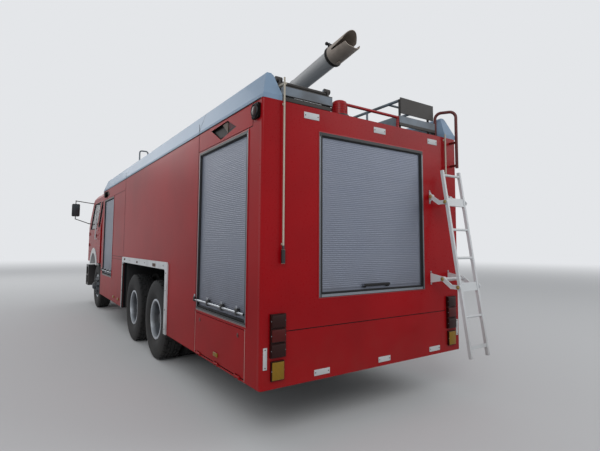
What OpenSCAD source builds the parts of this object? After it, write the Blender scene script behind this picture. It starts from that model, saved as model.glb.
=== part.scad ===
// Airport fire truck: a three-axle, cab-over foam and water tender with a roof monitor.
// Millimetres. X runs forwards, Y to the left and Z up from the ground.
// Places along the truck are measured forwards from the rear face of the body.

/* [Chassis] */
// Distance from the rear face of the body to the rearmost axle
rear_overhang = 3200; // [3150:10:3350]
// Distance between the two driven axles
tandem_pitch = 1350; // [1320:10:1450]
// Distance from the second axle to the steered axle
wheelbase = 4325; // [4200:25:4600]
// Distance from the steered axle to the front of the cab
cab_overhang = 1275; // [1200:10:1320]
// Distance from the front of the cab to the front of the bumper
bumper_proud = 180; // [140:5:230]
// Reach of the towing ears in front of the bumper
tow_reach = 100; // [80:5:140]
// Width over the two frame rails
frame_w = 850; // [800:5:860]
// Height of a frame rail
rail_h = 300; // [240:5:310]
// Width of a frame rail's flange
rail_flange = 80; // [60:2:90]
// Thickness of the frame steel
rail_t = 8; // [6:1:12]
// Height of the frame's top above the ground
frame_top = 1020; // [980:5:1030]

/* [Wheels] */
// Outer radius of a tyre
tyre_r = 540; // [500:5:560]
// Width of a tyre
tyre_w = 293; // [250:1:300]
// Distance between the middles of two twin tyres
twin_pitch = 335; // [320:1:345]
// Radius of the rim where the tyre sits
rim_r = 254; // [240:1:265]
// Thickness of the wheel disc
disc_t = 14; // [8:1:20]
// Number of hand holes in a wheel disc
hand_holes = 10; // [6:1:12]
// Distance between the middles of the front tyres
front_track = 2030; // [1980:5:2060]
// Distance from the middle of a front tyre in to its king pin
king_offset = 175; // [165:1:190]
// Length of the steering arms
steer_arm = 180; // [150:5:200]

/* [Body] */
// Width over the body sides
body_w = 2500; // [2480:5:2550]
// Height of the body's lower edge
body_bottom = 455; // [430:5:480]
// Height of the body's top edge, where the deck lies
body_top = 2800; // [2750:5:2900]
// Thickness of the walls
wall_t = 50; // [40:2:60]
// Free space between the body and the cab
cab_gap = 300; // [250:10:350]
// Height of the coamings that edge the roof
coaming_h = 255; // [200:5:280]
// Width of a coaming at its foot
coaming_w = 185; // [160:5:200]
// Distance that a coaming's top leans in
coaming_lean = 70; // [40:5:90]
// Thickness of the coaming sheet
coaming_t = 6; // [4:1:10]
// Length of the bay behind the wheels
rear_bay_l = 1460; // [1420:10:1600]
// Width of the post at each rear corner
corner_post = 250; // [220:5:280]
// Width of the post at each front corner
front_post = 250; // [220:5:280]
// Clear length of a front side shutter
front_shutter_w = 1120; // [1000:10:1200]
// Height of the sill below the side shutters
sill_z = 915; // [900:5:940]
// Height of the side shutters' top edge
shutter_top = 2575; // [2500:5:2590]
// Free space between a driven tyre and the end of its arch
arch_gap = 95; // [80:5:110]
// Height of the underside of the wheel arch
arch_top = 1265; // [1240:5:1300]
// Width of the white trim around the wheel arch
arch_trim_w = 95; // [70:5:110]

/* [Shutters] */
// Clear width of the rear shutter
rear_shutter_w = 1360; // [1200:10:1400]
// Height of the rear shutter's lower edge
rear_shutter_z0 = 1140; // [1100:5:1200]
// Height of the rear shutter's top edge
rear_shutter_z1 = 2590; // [2500:5:2600]
// Height of one slat
slat_pitch = 36; // [30:1:50]
// Width of the light frame round each shutter
shutter_frame_w = 24; // [18:1:30]
// Thickness of a slat
slat_t = 14; // [10:1:18]
// Distance from the wall's face in to the shutter
shutter_inset = 16; // [10:1:20]

/* [Flaps] */
// Thickness of a fold-down step flap
flap_t = 30; // [24:1:36]
// Free space round a moving panel
flap_gap = 6; // [5:1:8]
// Radius of the flap hinge barrels
flap_hinge_r = 8; // [7:1:10]

/* [Cab] */
// Length of the cab
cab_l = 2100; // [2050:10:2200]
// Width of the cab at the waist
cab_w = 2490; // [2400:10:2496]
// Width of the cab across its roof edges
cab_top_w = 2300; // [2200:10:2350]
// Height of the cab's lower edge
skirt_z = 1135; // [1120:5:1180]
// Height of the underside of the cab floor
floor_z = 1340; // [1320:5:1380]
// Height of the waist, where the windows start
waist_z = 1950; // [1900:5:2000]
// Height of the cab roof
roof_z = 2935; // [2880:5:2990]
// Distance that the windscreen leans back
screen_rake = 190; // [120:5:240]
// Thickness of the cab walls and doors
cab_t = 50; // [40:2:60]
// Radius of the cab's front corners
cab_corner_r = 180; // [120:5:220]
// Length of a door
door_l = 1240; // [1100:10:1260]
// Distance from the cab's front to the front edge of a door
door_setback = 350; // [320:5:400]
// Thickness of the window glass
glass_t = 8; // [5:1:10]
// Outer radius of the white wheel arch of the cab
fender_r = 640; // [630:5:660]
// Width of the white wheel arch's band
fender_band = 130; // [90:5:140]

/* [Seats] */
// Distance from the middle of the truck to the middle of a seat
seat_y = 800; // [780:5:820]
// Width of a seat
seat_w = 480; // [440:5:500]
// Distance from the rear of the cab to the front edge of a seat
seat_front = 1400; // [1350:10:1420]
// Length of a seat cushion
cushion_l = 500; // [460:10:520]
// Thickness of a seat cushion
cushion_t = 130; // [100:5:150]
// Height of a seat's back above its cushion
seat_back_h = 700; // [600:10:760]
// Height of a seat's base
seat_base_h = 260; // [220:10:300]

/* [Bumper] */
// Height of the bumper's lower edge
bumper_z0 = 480; // [460:5:520]
// Height of the bumper's top edge
bumper_z1 = 1025; // [980:5:1030]
// Length of the step boxes at the bumper's ends
bumper_side_l = 480; // [420:10:500]

/* [Monitor] */
// Distance from the rear face to the monitor
monitor_x = 2300; // [2100:10:2400]
// Height of the axis on which the barrel tilts
monitor_z = 3470; // [3400:5:3500]
// Outer radius of the barrel at its root
barrel_r = 95; // [80:1:100]
// Outer radius of the barrel at its outlet
outlet_r = 97; // [90:1:105]
// Wall of the barrel
barrel_wall = 7; // [5:1:10]
// Distance from the tilt axis to the barrel's collar
barrel_l = 1710; // [1600:10:1760]
// Length of the split deflector beyond the collar
jaw_l = 310; // [280:5:350]
// Elevation of the barrel as it is parked
barrel_lift = 8.5; // [7:0.5:12]

/* [Ladder] */
// Length of the ladder's side rails
ladder_l = 1890; // [1880:10:1900]
// Width over the side rails
ladder_w = 300; // [280:5:320]
// Distance between rungs
rung_pitch = 290; // [280:1:292]
// Angle of the lowered ladder from upright
ladder_lean = 8.7; // [6:0.1:11]
// Length of a swing arm between its pins
arm_l = 195; // [180:5:210]
// Angle of the lowered arms below level
arm_drop = 21; // [15:1:30]
// Height of the upper arms' pin on the rear face
arm_pin_z = 2110; // [2050:5:2150]
// Distance of the upper arms' pin behind the rear face
arm_pin_x = 35; // [30:1:45]
// Distance from the middle of the truck to the ladder's middle
ladder_y = 930; // [920:5:940]
// Thickness of an arm
arm_t = 12; // [10:1:14]
// Radius of the ladder's pins
pin_r = 10; // [8:1:12]

/* [Hidden] */
$fn = 48;

// Gap between pieces that seat on one another, and running gap round a pin
seat = 0.3;
run = 0.4;

// Places along the truck
axle_rear = rear_overhang;
axle_mid = axle_rear + tandem_pitch;
axle_front = axle_mid + wheelbase;
cab_front = axle_front + cab_overhang;
cab_rear = cab_front - cab_l;
body_l = cab_rear - cab_gap;
bumper_front = cab_front + bumper_proud;
trunnion_x = (axle_rear + axle_mid) / 2;

// Heights and half widths
half_w = body_w / 2;
in_w = half_w - wall_t;
rail_y = frame_w / 2;
rail_z0 = frame_top - rail_h;
deck_t = 20;
floor_t = 20;
body_floor_z = frame_top + 30;
arch_x0 = axle_rear - tyre_r - arch_gap;
arch_x1 = axle_mid + tyre_r + arch_gap;
trim_x0 = arch_x0 - arch_trim_w;
trim_x1 = arch_x1 + arch_trim_w;
trim_top = arch_top + arch_trim_w;

// Wheels
twin_out_y = half_w - 30 - tyre_w / 2;
front_y = front_track / 2;
king_y = front_y - king_offset;
disc_face = twin_pitch / 2;
hub_bore_rear = 50;
hub_bore_front = 32;

// Openings in a side wall: name of the row's columns is x0, x1, z0, z1
side_bays = [
    [corner_post, rear_bay_l - 40, sill_z, shutter_top],
    [body_l - front_post - front_shutter_w, body_l - front_post, sill_z, shutter_top]];
rear_bay = [-rear_shutter_w / 2, rear_shutter_w / 2, rear_shutter_z0, rear_shutter_z1];
flap_x0 = corner_post + 20;
flap_x1 = rear_bay_l - 20;
flap_z0 = body_bottom + 15;
flap_z1 = sill_z - 10 - shutter_frame_w;
flap_pin_y = half_w + 8;
flap_pin_z = flap_z0 + flap_gap;

// Cab
cab_half = cab_w / 2;
door_x1 = cab_front - door_setback;
door_x0 = door_x1 - door_l;
door_z0 = floor_z + 45;
door_z1 = roof_z - 215;
door_gap = 6;
door_pin_x = door_x1 + door_gap;
door_pin_y = cab_half + 12;
fender_x = axle_front + 65;
fender_z = 850;
tilt_x = cab_front - 110;
tilt_z = skirt_z - 25;
tilt_r = 35;

// Ladder: the upper pin on the wall, then the two pins on the ladder, then the lower wall pin
arm_x = arm_l * cos(arm_drop);
arm_z = arm_l * sin(arm_drop);
pin_span = 3 * rung_pitch;
pin_a = [-arm_pin_x, arm_pin_z];
pin_b = pin_a + [-arm_x, -arm_z];
pin_c = pin_b - pin_span * [sin(ladder_lean), cos(ladder_lean)];
pin_d = pin_c - (pin_b - pin_a);
rail_top_l = 50 + rung_pitch;
rail_depth = 32;
ladder_rail_t = 25;
ladder_reach = -(pin_b[0] - (ladder_l - rail_top_l) * sin(ladder_lean)) + rail_depth / 2;

// Middle of the whole length, which is the origin
mid_x = (bumper_front + tow_reach - ladder_reach) / 2;

// Colours
red = "#b3121c";
white = "#e9eaea";
pale = "#a9b7c4";
alloy = "#8f98a3";
steel = "#26282b";
rubber = "#191a1c";
dark = "#2b2d31";

module from_rear() translate([-mid_x, 0, 0]) children();

module both_sides() {
    children();
    mirror([0, 1, 0]) children();
}

module block(x0, x1, y0, y1, z0, z1) translate([x0, y0, z0]) cube([x1 - x0, y1 - y0, z1 - z0]);

// A drawing in Y and Z, drawn out along X
module along_x(x0, x1) translate([x0, 0, 0]) rotate([90, 0, 90]) linear_extrude(x1 - x0) children();

// A drawing in X and Z, drawn out along Y
module along_y(y0, y1) translate([0, y1, 0]) rotate([90, 0, 0]) linear_extrude(y1 - y0) children();

module rod_y(x, z, y0, y1, r) translate([x, y0, z]) rotate([-90, 0, 0]) cylinder(r = r, h = y1 - y0);

module rod_x(y, z, x0, x1, r) translate([x0, y, z]) rotate([0, 90, 0]) cylinder(r = r, h = x1 - x0);

module rod(a, b, r) {
    d = b - a;
    translate(a) rotate([0, acos(d[2] / norm(d)), atan2(d[1], d[0])]) cylinder(r = r, h = norm(d));
}

function arc(c, r, a0, a1, n) =
    [for (i = [0:n]) let (a = a0 + (a1 - a0) * i / n) [c[0] + r * cos(a), c[1] + r * sin(a)]];

function rounded(x0, y0, x1, y1, r, n = 4) = concat(
    arc([x1 - r, y1 - r], r, 0, 90, n), arc([x0 + r, y1 - r], r, 90, 180, n),
    arc([x0 + r, y0 + r], r, 180, 270, n), arc([x1 - r, y0 + r], r, 270, 360, n));

// Unit vector square to the line from a to b, in a drawing
function square_to(a, b) = let (d = (b - a) / norm(b - a)) [-d[1], d[0]];

// A flat bar of half width w from a to b, bent at e
module bent_bar(a, e, b, w) {
    n1 = square_to(a, e);
    n2 = square_to(e, b);
    m = (n1 + n2) / (1 + n1 * n2);
    polygon([a + w * n1, e + w * m, b + w * n2, b - w * n2, e - w * m, a - w * n1]);
}

// Frame

crossmembers = [400, 2250, trunnion_x, arch_x1 + 400, body_l - 500, cab_front - 250];

module frame_rails() color(steel) from_rear() {
    web_y = rail_y - rail_t;
    both_sides() {
        along_x(wall_t + seat, cab_front + 40) polygon([
            [rail_y, rail_z0], [rail_y, frame_top], [rail_y - rail_flange, frame_top],
            [rail_y - rail_flange, frame_top - rail_t], [web_y, frame_top - rail_t],
            [web_y, rail_z0 + rail_t], [rail_y - rail_flange, rail_z0 + rail_t],
            [rail_y - rail_flange, rail_z0]]);
        // Bearers that carry the body floor
        block(wall_t + seat, body_l - 200, rail_y - rail_flange, rail_y, frame_top, body_floor_z - seat);
        // Ear and pin on which the cab tilts
        along_y(rail_y - 42, rail_y - 12) {
            translate([tilt_x - tilt_r, frame_top - 5]) square([2 * tilt_r, tilt_z - frame_top + 5]);
            translate([tilt_x, tilt_z]) circle(tilt_r);
        }
        rod_y(tilt_x, tilt_z, rail_y - 78, rail_y - 12, 20);
        // Post under the rear of the cab
        block(cab_rear + 60, cab_rear + 160, rail_y - 60, rail_y, frame_top, floor_z - 5);
    }
    for (x = crossmembers) block(x - 35, x + 35, -web_y, web_y, rail_z0 + 50, frame_top - 50);
}

engine_x0 = axle_front - 620;
engine_x1 = axle_front + 680;
gearbox_x0 = engine_x0 - 650;
gearbox_z = rail_z0 - 20;

module engine() color("#4b4e52") from_rear() {
    side = rail_y - rail_flange - 10;
    block(engine_x0, engine_x1, -side, side, rail_z0 + 60, floor_z + 140);
    block(gearbox_x0, engine_x0, -190, 190, gearbox_z - 70, frame_top - 10);
    // Radiator in front, and the feet on the frame
    block(engine_x1 + 60, engine_x1 + 150, -side, side, rail_z0 + 100, floor_z - 20);
    block(engine_x1, engine_x1 + 60, -60, 60, rail_z0 + 250, rail_z0 + 370);
    both_sides() for (x = [engine_x0 + 200, engine_x1 - 200])
        block(x - 60, x + 60, side, side + 10 - seat, frame_top - 120, frame_top - 10);
}

// Axles, springs and shafts

// One leaf: half length, height of the leaf's top at its middle
leaf_t = 14;
function leaf_z(x, half, rise) = rise * x * x / (half * half);

module leaf_pack(half, rise, leaves, step) {
    for (i = [0:leaves - 1]) {
        l = half - i * step;
        n = 8;
        sunk = i < leaves - 1 ? 3 : 0;
        top = [for (k = [0:n]) let (x = -l + 2 * l * k / n) [x, leaf_z(x, half, rise) - i * leaf_t]];
        low = [for (k = [n:-1:0]) let (x = -l + 2 * l * k / n)
            [x, leaf_z(x, half, rise) - (i + 1) * leaf_t - sunk]];
        polygon(concat(top, low));
    }
}

spring_y0 = rail_y + 12;
spring_w = 90;
spring_half = tandem_pitch / 2 + 90;
spring_rise = 60;
spring_z = tyre_r + 75 + leaf_z(tandem_pitch / 2, spring_half, spring_rise);
trunnion_z = tyre_r - 60;
front_spring_half = 720;
front_spring_z = rail_z0 - 160;
beam_eye_z0 = tyre_r - 90;
beam_eye_z1 = tyre_r + 70;

module front_axle_beam() {
    seat_y = rail_y - rail_flange / 2;
    drop_z = tyre_r - 150;
    // Dropped I-beam, wide at the spring seats, with an eye for each king pin
    difference() {
        intersection() {
            block(axle_front - 50, axle_front + 50, -king_y, king_y, 0, frame_top);
            along_x(axle_front - 50, axle_front + 50) polygon([
                [-king_y, beam_eye_z0], [-king_y + 90, beam_eye_z0], [-seat_y - 60, drop_z],
                [seat_y + 60, drop_z], [king_y - 90, beam_eye_z0], [king_y, beam_eye_z0],
                [king_y, beam_eye_z0 + 95], [king_y - 60, beam_eye_z0 + 95], [seat_y + 80, drop_z + 90],
                [-seat_y - 80, drop_z + 90], [-king_y + 60, beam_eye_z0 + 95],
                [-king_y, beam_eye_z0 + 95]]);
        }
        both_sides() translate([axle_front, king_y, 0]) cylinder(r = 40, h = frame_top);
        for (s = [-1, 1]) along_x(s > 0 ? axle_front + 15 : axle_front - 51, s > 0 ? axle_front + 51 : axle_front - 15)
            polygon([[-seat_y + 60, drop_z + 15], [seat_y - 60, drop_z + 15],
                [seat_y - 60, drop_z + 75], [-seat_y + 60, drop_z + 75]]);
    }
    both_sides() translate([axle_front, king_y, 0]) difference() {
        translate([0, 0, beam_eye_z0]) cylinder(r = 45, h = beam_eye_z1 - beam_eye_z0);
        translate([0, 0, beam_eye_z0 - 1]) cylinder(r = 22 + run, h = beam_eye_z1 - beam_eye_z0 + 2);
    }
    // Front springs with their hangers under the rails
    both_sides() {
        drop = drop_z + 90;
        base = drop + 5 * leaf_t;
        along_y(seat_y - 40, seat_y + 40) translate([axle_front, base])
            leaf_pack(front_spring_half, front_spring_z - base + 60, 5, 120);
        for (s = [-1, 1]) {
            x = axle_front + s * (front_spring_half - 20);
            block(x - 30, x + 30, seat_y - 40, seat_y + 40, front_spring_z + 30, rail_z0 - seat);
        }
    }
}

nose_l = 265;
shaft_z = tyre_r + 50;

// Housing of a driven axle: half of its section as radius against distance from the middle
housing = [[238, 0], [225, 130], [150, 235], [72, 300], [72, spring_y0 + spring_w + 40],
    [hub_bore_rear - run, spring_y0 + spring_w + 40],
    [hub_bore_rear - run, twin_out_y - disc_face + 40], [0, twin_out_y - disc_face + 40]];

module drive_axle(x, noses) {
    translate([x, 0, tyre_r]) rotate([-90, 0, 0]) rotate_extrude() polygon(concat(mirrored(tail(housing)), housing));
    both_sides() block(x - 55, x + 55, spring_y0 - 10, spring_y0 + spring_w + 10, tyre_r, tyre_r + 75);
    for (n = noses) block(min(x, x + n * nose_l), max(x, x + n * nose_l), -75, 75, shaft_z - 75, shaft_z + 75);
}

module axles() color("#303236") from_rear() {
    front_axle_beam();
    drive_axle(axle_rear, [1]);
    drive_axle(axle_mid, [1, -1]);
    // Balance springs on a trunnion between the two driven axles
    both_sides() {
        along_y(spring_y0, spring_y0 + spring_w) translate([trunnion_x, spring_z])
            mirror([0, 1]) leaf_pack(spring_half, spring_rise, 7, 85);
        along_y(rail_y + seat, spring_y0 + spring_w) {
            translate([trunnion_x, trunnion_z]) circle(75);
            polygon([[trunnion_x - 75, trunnion_z], [trunnion_x + 75, trunnion_z],
                [trunnion_x + 130, spring_z + 20], [trunnion_x - 130, spring_z + 20]]);
        }
        along_y(rail_y + seat, rail_y + 12) polygon([[trunnion_x - 75, trunnion_z],
            [trunnion_x + 75, trunnion_z], [trunnion_x + 180, rail_z0 + 180],
            [trunnion_x - 180, rail_z0 + 180]]);
    }
    rod_y(trunnion_x, trunnion_z, -rail_y - 20, rail_y + 20, 45);
    // Shafts from the gearbox to the middle axle, and on to the rear one
    rod_x(0, shaft_z, axle_rear + nose_l - 1, axle_mid - nose_l + 1, 40);
    rod([axle_mid + nose_l - 3, 0, shaft_z], [gearbox_x0 - 2.2, 0, gearbox_z], 45);
}

// Steering

module knuckle() {
    flange_y = king_offset - tyre_w / 2 - 8;
    difference() {
        union() {
            // Lugs above and below the beam's eye, joined outside it
            for (z = [beam_eye_z0 - 6 - 34, beam_eye_z1 + 6]) translate([0, 0, z]) cylinder(r = 42, h = 34);
            for (z = [beam_eye_z0 - 6 - 34, beam_eye_z1 + 6]) block(-42, 42, 0, 70, z, z + 34);
            block(-42, 42, 50, 70, beam_eye_z0 - 40, beam_eye_z1 + 40);
            rod_y(0, tyre_r, 50, king_offset + 80, hub_bore_front - run);
            // Steering arm, running rearwards
            block(-steer_arm, 0, -18, 18, beam_eye_z0 - 40, beam_eye_z0 - 22);
            translate([-steer_arm, 0, beam_eye_z0 - 40]) cylinder(r = 18, h = 18);
            translate([-steer_arm, 0, beam_eye_z0 - 22]) cylinder(r = pin_r, h = 44);
        }
    }
    translate([0, 0, beam_eye_z0 - 30]) cylinder(r = 22, h = beam_eye_z1 - beam_eye_z0 + 60);
}

module knuckle_left() color(steel) from_rear() translate([axle_front, king_y, 0]) knuckle();

module knuckle_right() color(steel) from_rear() mirror([0, 1, 0]) translate([axle_front, king_y, 0]) knuckle();

module tie_rod() color(steel) from_rear() translate([axle_front - steer_arm, 0, beam_eye_z0]) {
    both_sides() difference() {
        translate([0, king_y, -18]) cylinder(r = 22, h = 32);
        translate([0, king_y, -19]) cylinder(r = pin_r + run, h = 34);
    }
    both_sides() rod_y(0, -2, -1, king_y - 20, 15);
}

// Wheels: drawings of radius against distance outwards from the tyre's middle

tyre_half = tyre_w / 2;
bead_r = rim_r + 8 + seat;
tread_r = tyre_r;
flange_r = rim_r + 24;
bead_half = tyre_half - 38;

// Right half of the tyre's section: outside first, then back along the inside
tyre_out = [[tread_r, 0], [tread_r - 3, tyre_half - 55], [tread_r - 12, tyre_half - 24],
    [tread_r - 45, tyre_half - 8], [tread_r - 130, tyre_half], [bead_r + 60, tyre_half - 14],
    [bead_r + 12, bead_half], [bead_r, bead_half - 6]];
tyre_in = [[bead_r, bead_half - 30], [bead_r + 40, tyre_half - 42], [tread_r - 130, tyre_half - 22],
    [tread_r - 50, tyre_half - 34], [tread_r - 30, 0]];

function mirrored(pts) = [for (i = [len(pts) - 1:-1:0]) [pts[i][0], -pts[i][1]]];
function tail(pts) = [for (i = [1:len(pts) - 1]) pts[i]];
function head(pts) = [for (i = [0:len(pts) - 2]) pts[i]];

module tyre() rotate([-90, 0, 0]) rotate_extrude() polygon(concat(
    mirrored(tail(tyre_out)), tyre_out, tyre_in, mirrored(head(tyre_in))));

module rim() rotate([-90, 0, 0]) {
    b = bead_half;
    rotate_extrude() polygon([
        [flange_r, -b - 12], [flange_r, -b - 2], [rim_r + 8, -b + 2], [rim_r + 8, -b + 40], [rim_r - 4, -b + 60],
        [rim_r - 4, b - 60], [rim_r + 8, b - 40], [rim_r + 8, b - 2], [flange_r, b + 2], [flange_r, b + 12],
        [rim_r - 2, b + 12], [rim_r - 6, b], [180, disc_face], [80, disc_face],
        [80, disc_face - disc_t], [174, disc_face - disc_t], [rim_r - 18, b - 20],
        [rim_r - 14, -b + 40], [rim_r - 4, -b - 12]]);
}

module hand_hole_cut() rotate([-90, 0, 0]) for (i = [0:hand_holes - 1])
    rotate([0, 0, 360 / hand_holes * i]) translate([208, 0, 0]) cylinder(r = 26, h = disc_face + 10, $fn = 24);

module nut_ring(y0, y1) rotate([-90, 0, 0]) for (i = [0:9])
    rotate([0, 0, 36 * i]) translate([143, 0, y0]) cylinder(r = 16, h = y1 - y0, $fn = 6);

module front_wheel() {
    difference() {
        rim();
        hand_hole_cut();
    }
    difference() {
        rotate([-90, 0, 0]) rotate_extrude() polygon([[0, disc_face + 70], [62, disc_face + 70],
            [70, disc_face + 55], [84, disc_face + 45], [92, disc_face], [100, disc_face - disc_t],
            [120, disc_face - disc_t - 18], [96, disc_face - 60], [96, -60], [205, -60], [205, -tyre_half + 20],
            [190, -tyre_half + 20], [190, -78], [0, -78]]);
        translate([0, -tyre_half, 0]) rotate([-90, 0, 0]) cylinder(r = hub_bore_front, h = tyre_half + 90);
    }
    nut_ring(disc_face - 2, disc_face + 24);
}

module rear_wheels() {
    difference() {
        union() {
            mirror([0, 1, 0]) rim();
            translate([0, -twin_pitch, 0]) rim();
        }
        mirror([0, 1, 0]) hand_hole_cut();
        translate([0, -twin_pitch, 0]) hand_hole_cut();
    }
    difference() {
        rotate([-90, 0, 0]) rotate_extrude() polygon([[0, 60], [70, 60], [84, 50], [92, 20], [104, 14],
            [104, -40], [96, -50], [96, -disc_face - 40], [195, -disc_face - 60], [195, -twin_pitch - 40],
            [180, -twin_pitch - 40], [180, -disc_face - 76], [0, -disc_face - 76]]);
        translate([0, -twin_pitch - 50, 0]) rotate([-90, 0, 0])
            cylinder(r = hub_bore_rear, h = twin_pitch - disc_face + 100);
    }
    mirror([0, 1, 0]) nut_ring(disc_face - disc_t - 24, disc_face - disc_t + 2);
}

module at_front_wheel() from_rear() translate([axle_front, front_y, tyre_r]) children();

module at_twin(x) from_rear() translate([x, twin_out_y, tyre_r]) children();

module twin_tyres() for (i = [0, 1]) translate([0, -i * twin_pitch, 0]) tyre();

module tyre_front_left() color(rubber) at_front_wheel() tyre();
module tyre_front_right() color(rubber) mirror([0, 1, 0]) at_front_wheel() tyre();
module tyres_mid_left() color(rubber) at_twin(axle_mid) twin_tyres();
module tyres_mid_right() color(rubber) mirror([0, 1, 0]) at_twin(axle_mid) twin_tyres();
module tyres_rear_left() color(rubber) at_twin(axle_rear) twin_tyres();
module tyres_rear_right() color(rubber) mirror([0, 1, 0]) at_twin(axle_rear) twin_tyres();
module wheel_front_left() color("silver") at_front_wheel() front_wheel();
module wheel_front_right() color("silver") mirror([0, 1, 0]) at_front_wheel() front_wheel();
module wheels_mid_left() color("silver") at_twin(axle_mid) rear_wheels();
module wheels_mid_right() color("silver") mirror([0, 1, 0]) at_twin(axle_mid) rear_wheels();
module wheels_rear_left() color("silver") at_twin(axle_rear) rear_wheels();
module wheels_rear_right() color("silver") mirror([0, 1, 0]) at_twin(axle_rear) rear_wheels();

// Body

seam_w = 8;
seam_d = 5;
post_seam = corner_post - 82;

module side_wall() {
    wall_panel();
    flap_pins();
}

module wall_panel() difference() {
    block(wall_t + seat, body_l, in_w, half_w, body_bottom, body_top);
    for (b = side_bays) block(b[0], b[1], in_w - 1, half_w + 1, b[2], b[3]);
    block(flap_x0, flap_x1, in_w - 1, half_w + 1, flap_z0, flap_z1);
    block(arch_x0, arch_x1, in_w - 1, half_w + 1, body_bottom - 1, arch_top);
    // Seams where the panels meet
    for (x = [rear_bay_l, trim_x1])
        block(x, x + seam_w, half_w - seam_d, half_w + 1, body_bottom - 1, body_top + 1);
    block(trim_x1, side_bays[1][0] - shutter_frame_w, half_w - seam_d, half_w + 1, trim_top - seam_w, trim_top);
    block(trim_x1, body_l + 1, half_w - seam_d, half_w + 1, shutter_top + 10, shutter_top + 10 + seam_w);
    block(post_seam, rear_bay_l, half_w - seam_d, half_w + 1, shutter_top + 14, shutter_top + 14 + seam_w);
    block(post_seam, post_seam + seam_w, half_w - seam_d, half_w + 1, shutter_top + 14, body_top + 1);
    // Pockets for the scene lamps
    for (x = lamp_pockets) lamp_pocket(x, 0);
}

lamp_pockets = [corner_post + 255, body_l - front_post - 560];
lamp_depth = 42;

// Recess of a scene lamp, seen from the side, smaller by the gap g
module lamp_pocket(x, g) along_y(half_w - lamp_depth + g, half_w + 1) polygon([
    [x + g, shutter_top + 92], [x + 350, shutter_top + 39 + g],
    [x + 606 - g, shutter_top + 180], [x + 196, shutter_top + 193 - g]]);

module side_left() color(red) from_rear() side_wall();
module side_right() color(red) from_rear() mirror([0, 1, 0]) side_wall();

rear_corner_r = 22;

module rear_wall() color(red) from_rear() difference() {
    translate([0, 0, body_bottom]) linear_extrude(body_top - body_bottom) polygon(concat(
        [[wall_t, -half_w], [wall_t, half_w]],
        arc([rear_corner_r, half_w - rear_corner_r], rear_corner_r, 90, 180, 4),
        arc([rear_corner_r, -half_w + rear_corner_r], rear_corner_r, 180, 270, 4)));
    block(-1, wall_t + 1, rear_bay[0], rear_bay[1], rear_bay[2], rear_bay[3]);
    // Seam below the shutter
    block(-1, seam_d, -half_w + 240, half_w - 240, 888, 888 + seam_w);
}

module front_wall() color(red) from_rear() difference() {
    block(body_l - wall_t, body_l, -in_w + seat, in_w - seat, body_bottom, body_top - deck_t - seat);
    // Passage for the frame and the gearbox
    block(body_l - wall_t - 1, body_l + 1, -rail_y - 45, rail_y + 45, body_bottom - 1, body_floor_z);
}

module roof_deck() color("#7d858e") from_rear() difference() {
    union() {
        block(wall_t + seat, body_l, -in_w + seat, in_w - seat, body_top - deck_t, body_top);
        // Ribs that stiffen the walkway
        for (i = [0:8]) block(wall_t + 200 + i * (body_l - 500) / 8, wall_t + 240 + i * (body_l - 500) / 8,
            -in_w + 150, in_w - 150, body_top, body_top + 6);
        // Bolted covers of the water tank and the foam tank
        for (x = [monitor_x + 1100, monitor_x + 2500, monitor_x + 3800]) tank_cover(x);
    }
    translate([monitor_x, 0, body_top - deck_t - 1]) cylinder(r = 60, h = deck_t + 2);
}

module tank_cover(x) translate([x, 0, body_top]) {
    cylinder(r = 300, h = 40);
    cylinder(r = 270, h = 70);
    for (i = [0:7]) rotate([0, 0, 45 * i]) translate([285, 0, 0]) cylinder(r = 12, h = 58, $fn = 12);
}

module lockers() color(dark) from_rear() {
    x_end = body_l - wall_t - seat;
    y_in = rail_y + 45;
    difference() {
        union() {
            // Floor over the frame, and the tops of the wheel wells
            block(wall_t + seat, x_end, -in_w + seat, in_w - seat, body_floor_z, body_floor_z + floor_t);
            both_sides() block(arch_x0 - floor_t, arch_x1 + floor_t, y_in, in_w - seat, body_floor_z, arch_top + floor_t);
        }
        both_sides() block(arch_x0, arch_x1, y_in + floor_t, in_w, body_floor_z - 1, arch_top);
    }
    both_sides() {
        // Lower lockers behind and in front of the wheels
        for (bay = [[wall_t + seat, arch_x0], [arch_x1, x_end]]) {
            block(bay[0], bay[1], y_in, in_w - seat, body_bottom, body_bottom + floor_t);
            block(bay[0], bay[1], y_in, y_in + floor_t, body_bottom, body_floor_z);
        }
        for (x = [arch_x0 - floor_t, arch_x1])
            block(x, x + floor_t, y_in, in_w - seat, body_bottom, body_floor_z);
        // Wall behind the step flap
        block(flap_x0 - 10, flap_x1 + 10, in_w - 40, in_w - 30, body_bottom, body_floor_z);
    }
}

// A coaming's section, its outer foot at the body's side
coaming_out = [[half_w, body_top], [half_w, body_top + 30], [half_w - coaming_lean, body_top + coaming_h - 15],
    [half_w - coaming_lean - 15, body_top + coaming_h], [half_w - coaming_lean - 55, body_top + coaming_h],
    [half_w - coaming_lean - 75, body_top + coaming_h - 20], [half_w - coaming_w, body_top + 60],
    [half_w - coaming_w, body_top]];
coaming_slope = 90;

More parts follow.
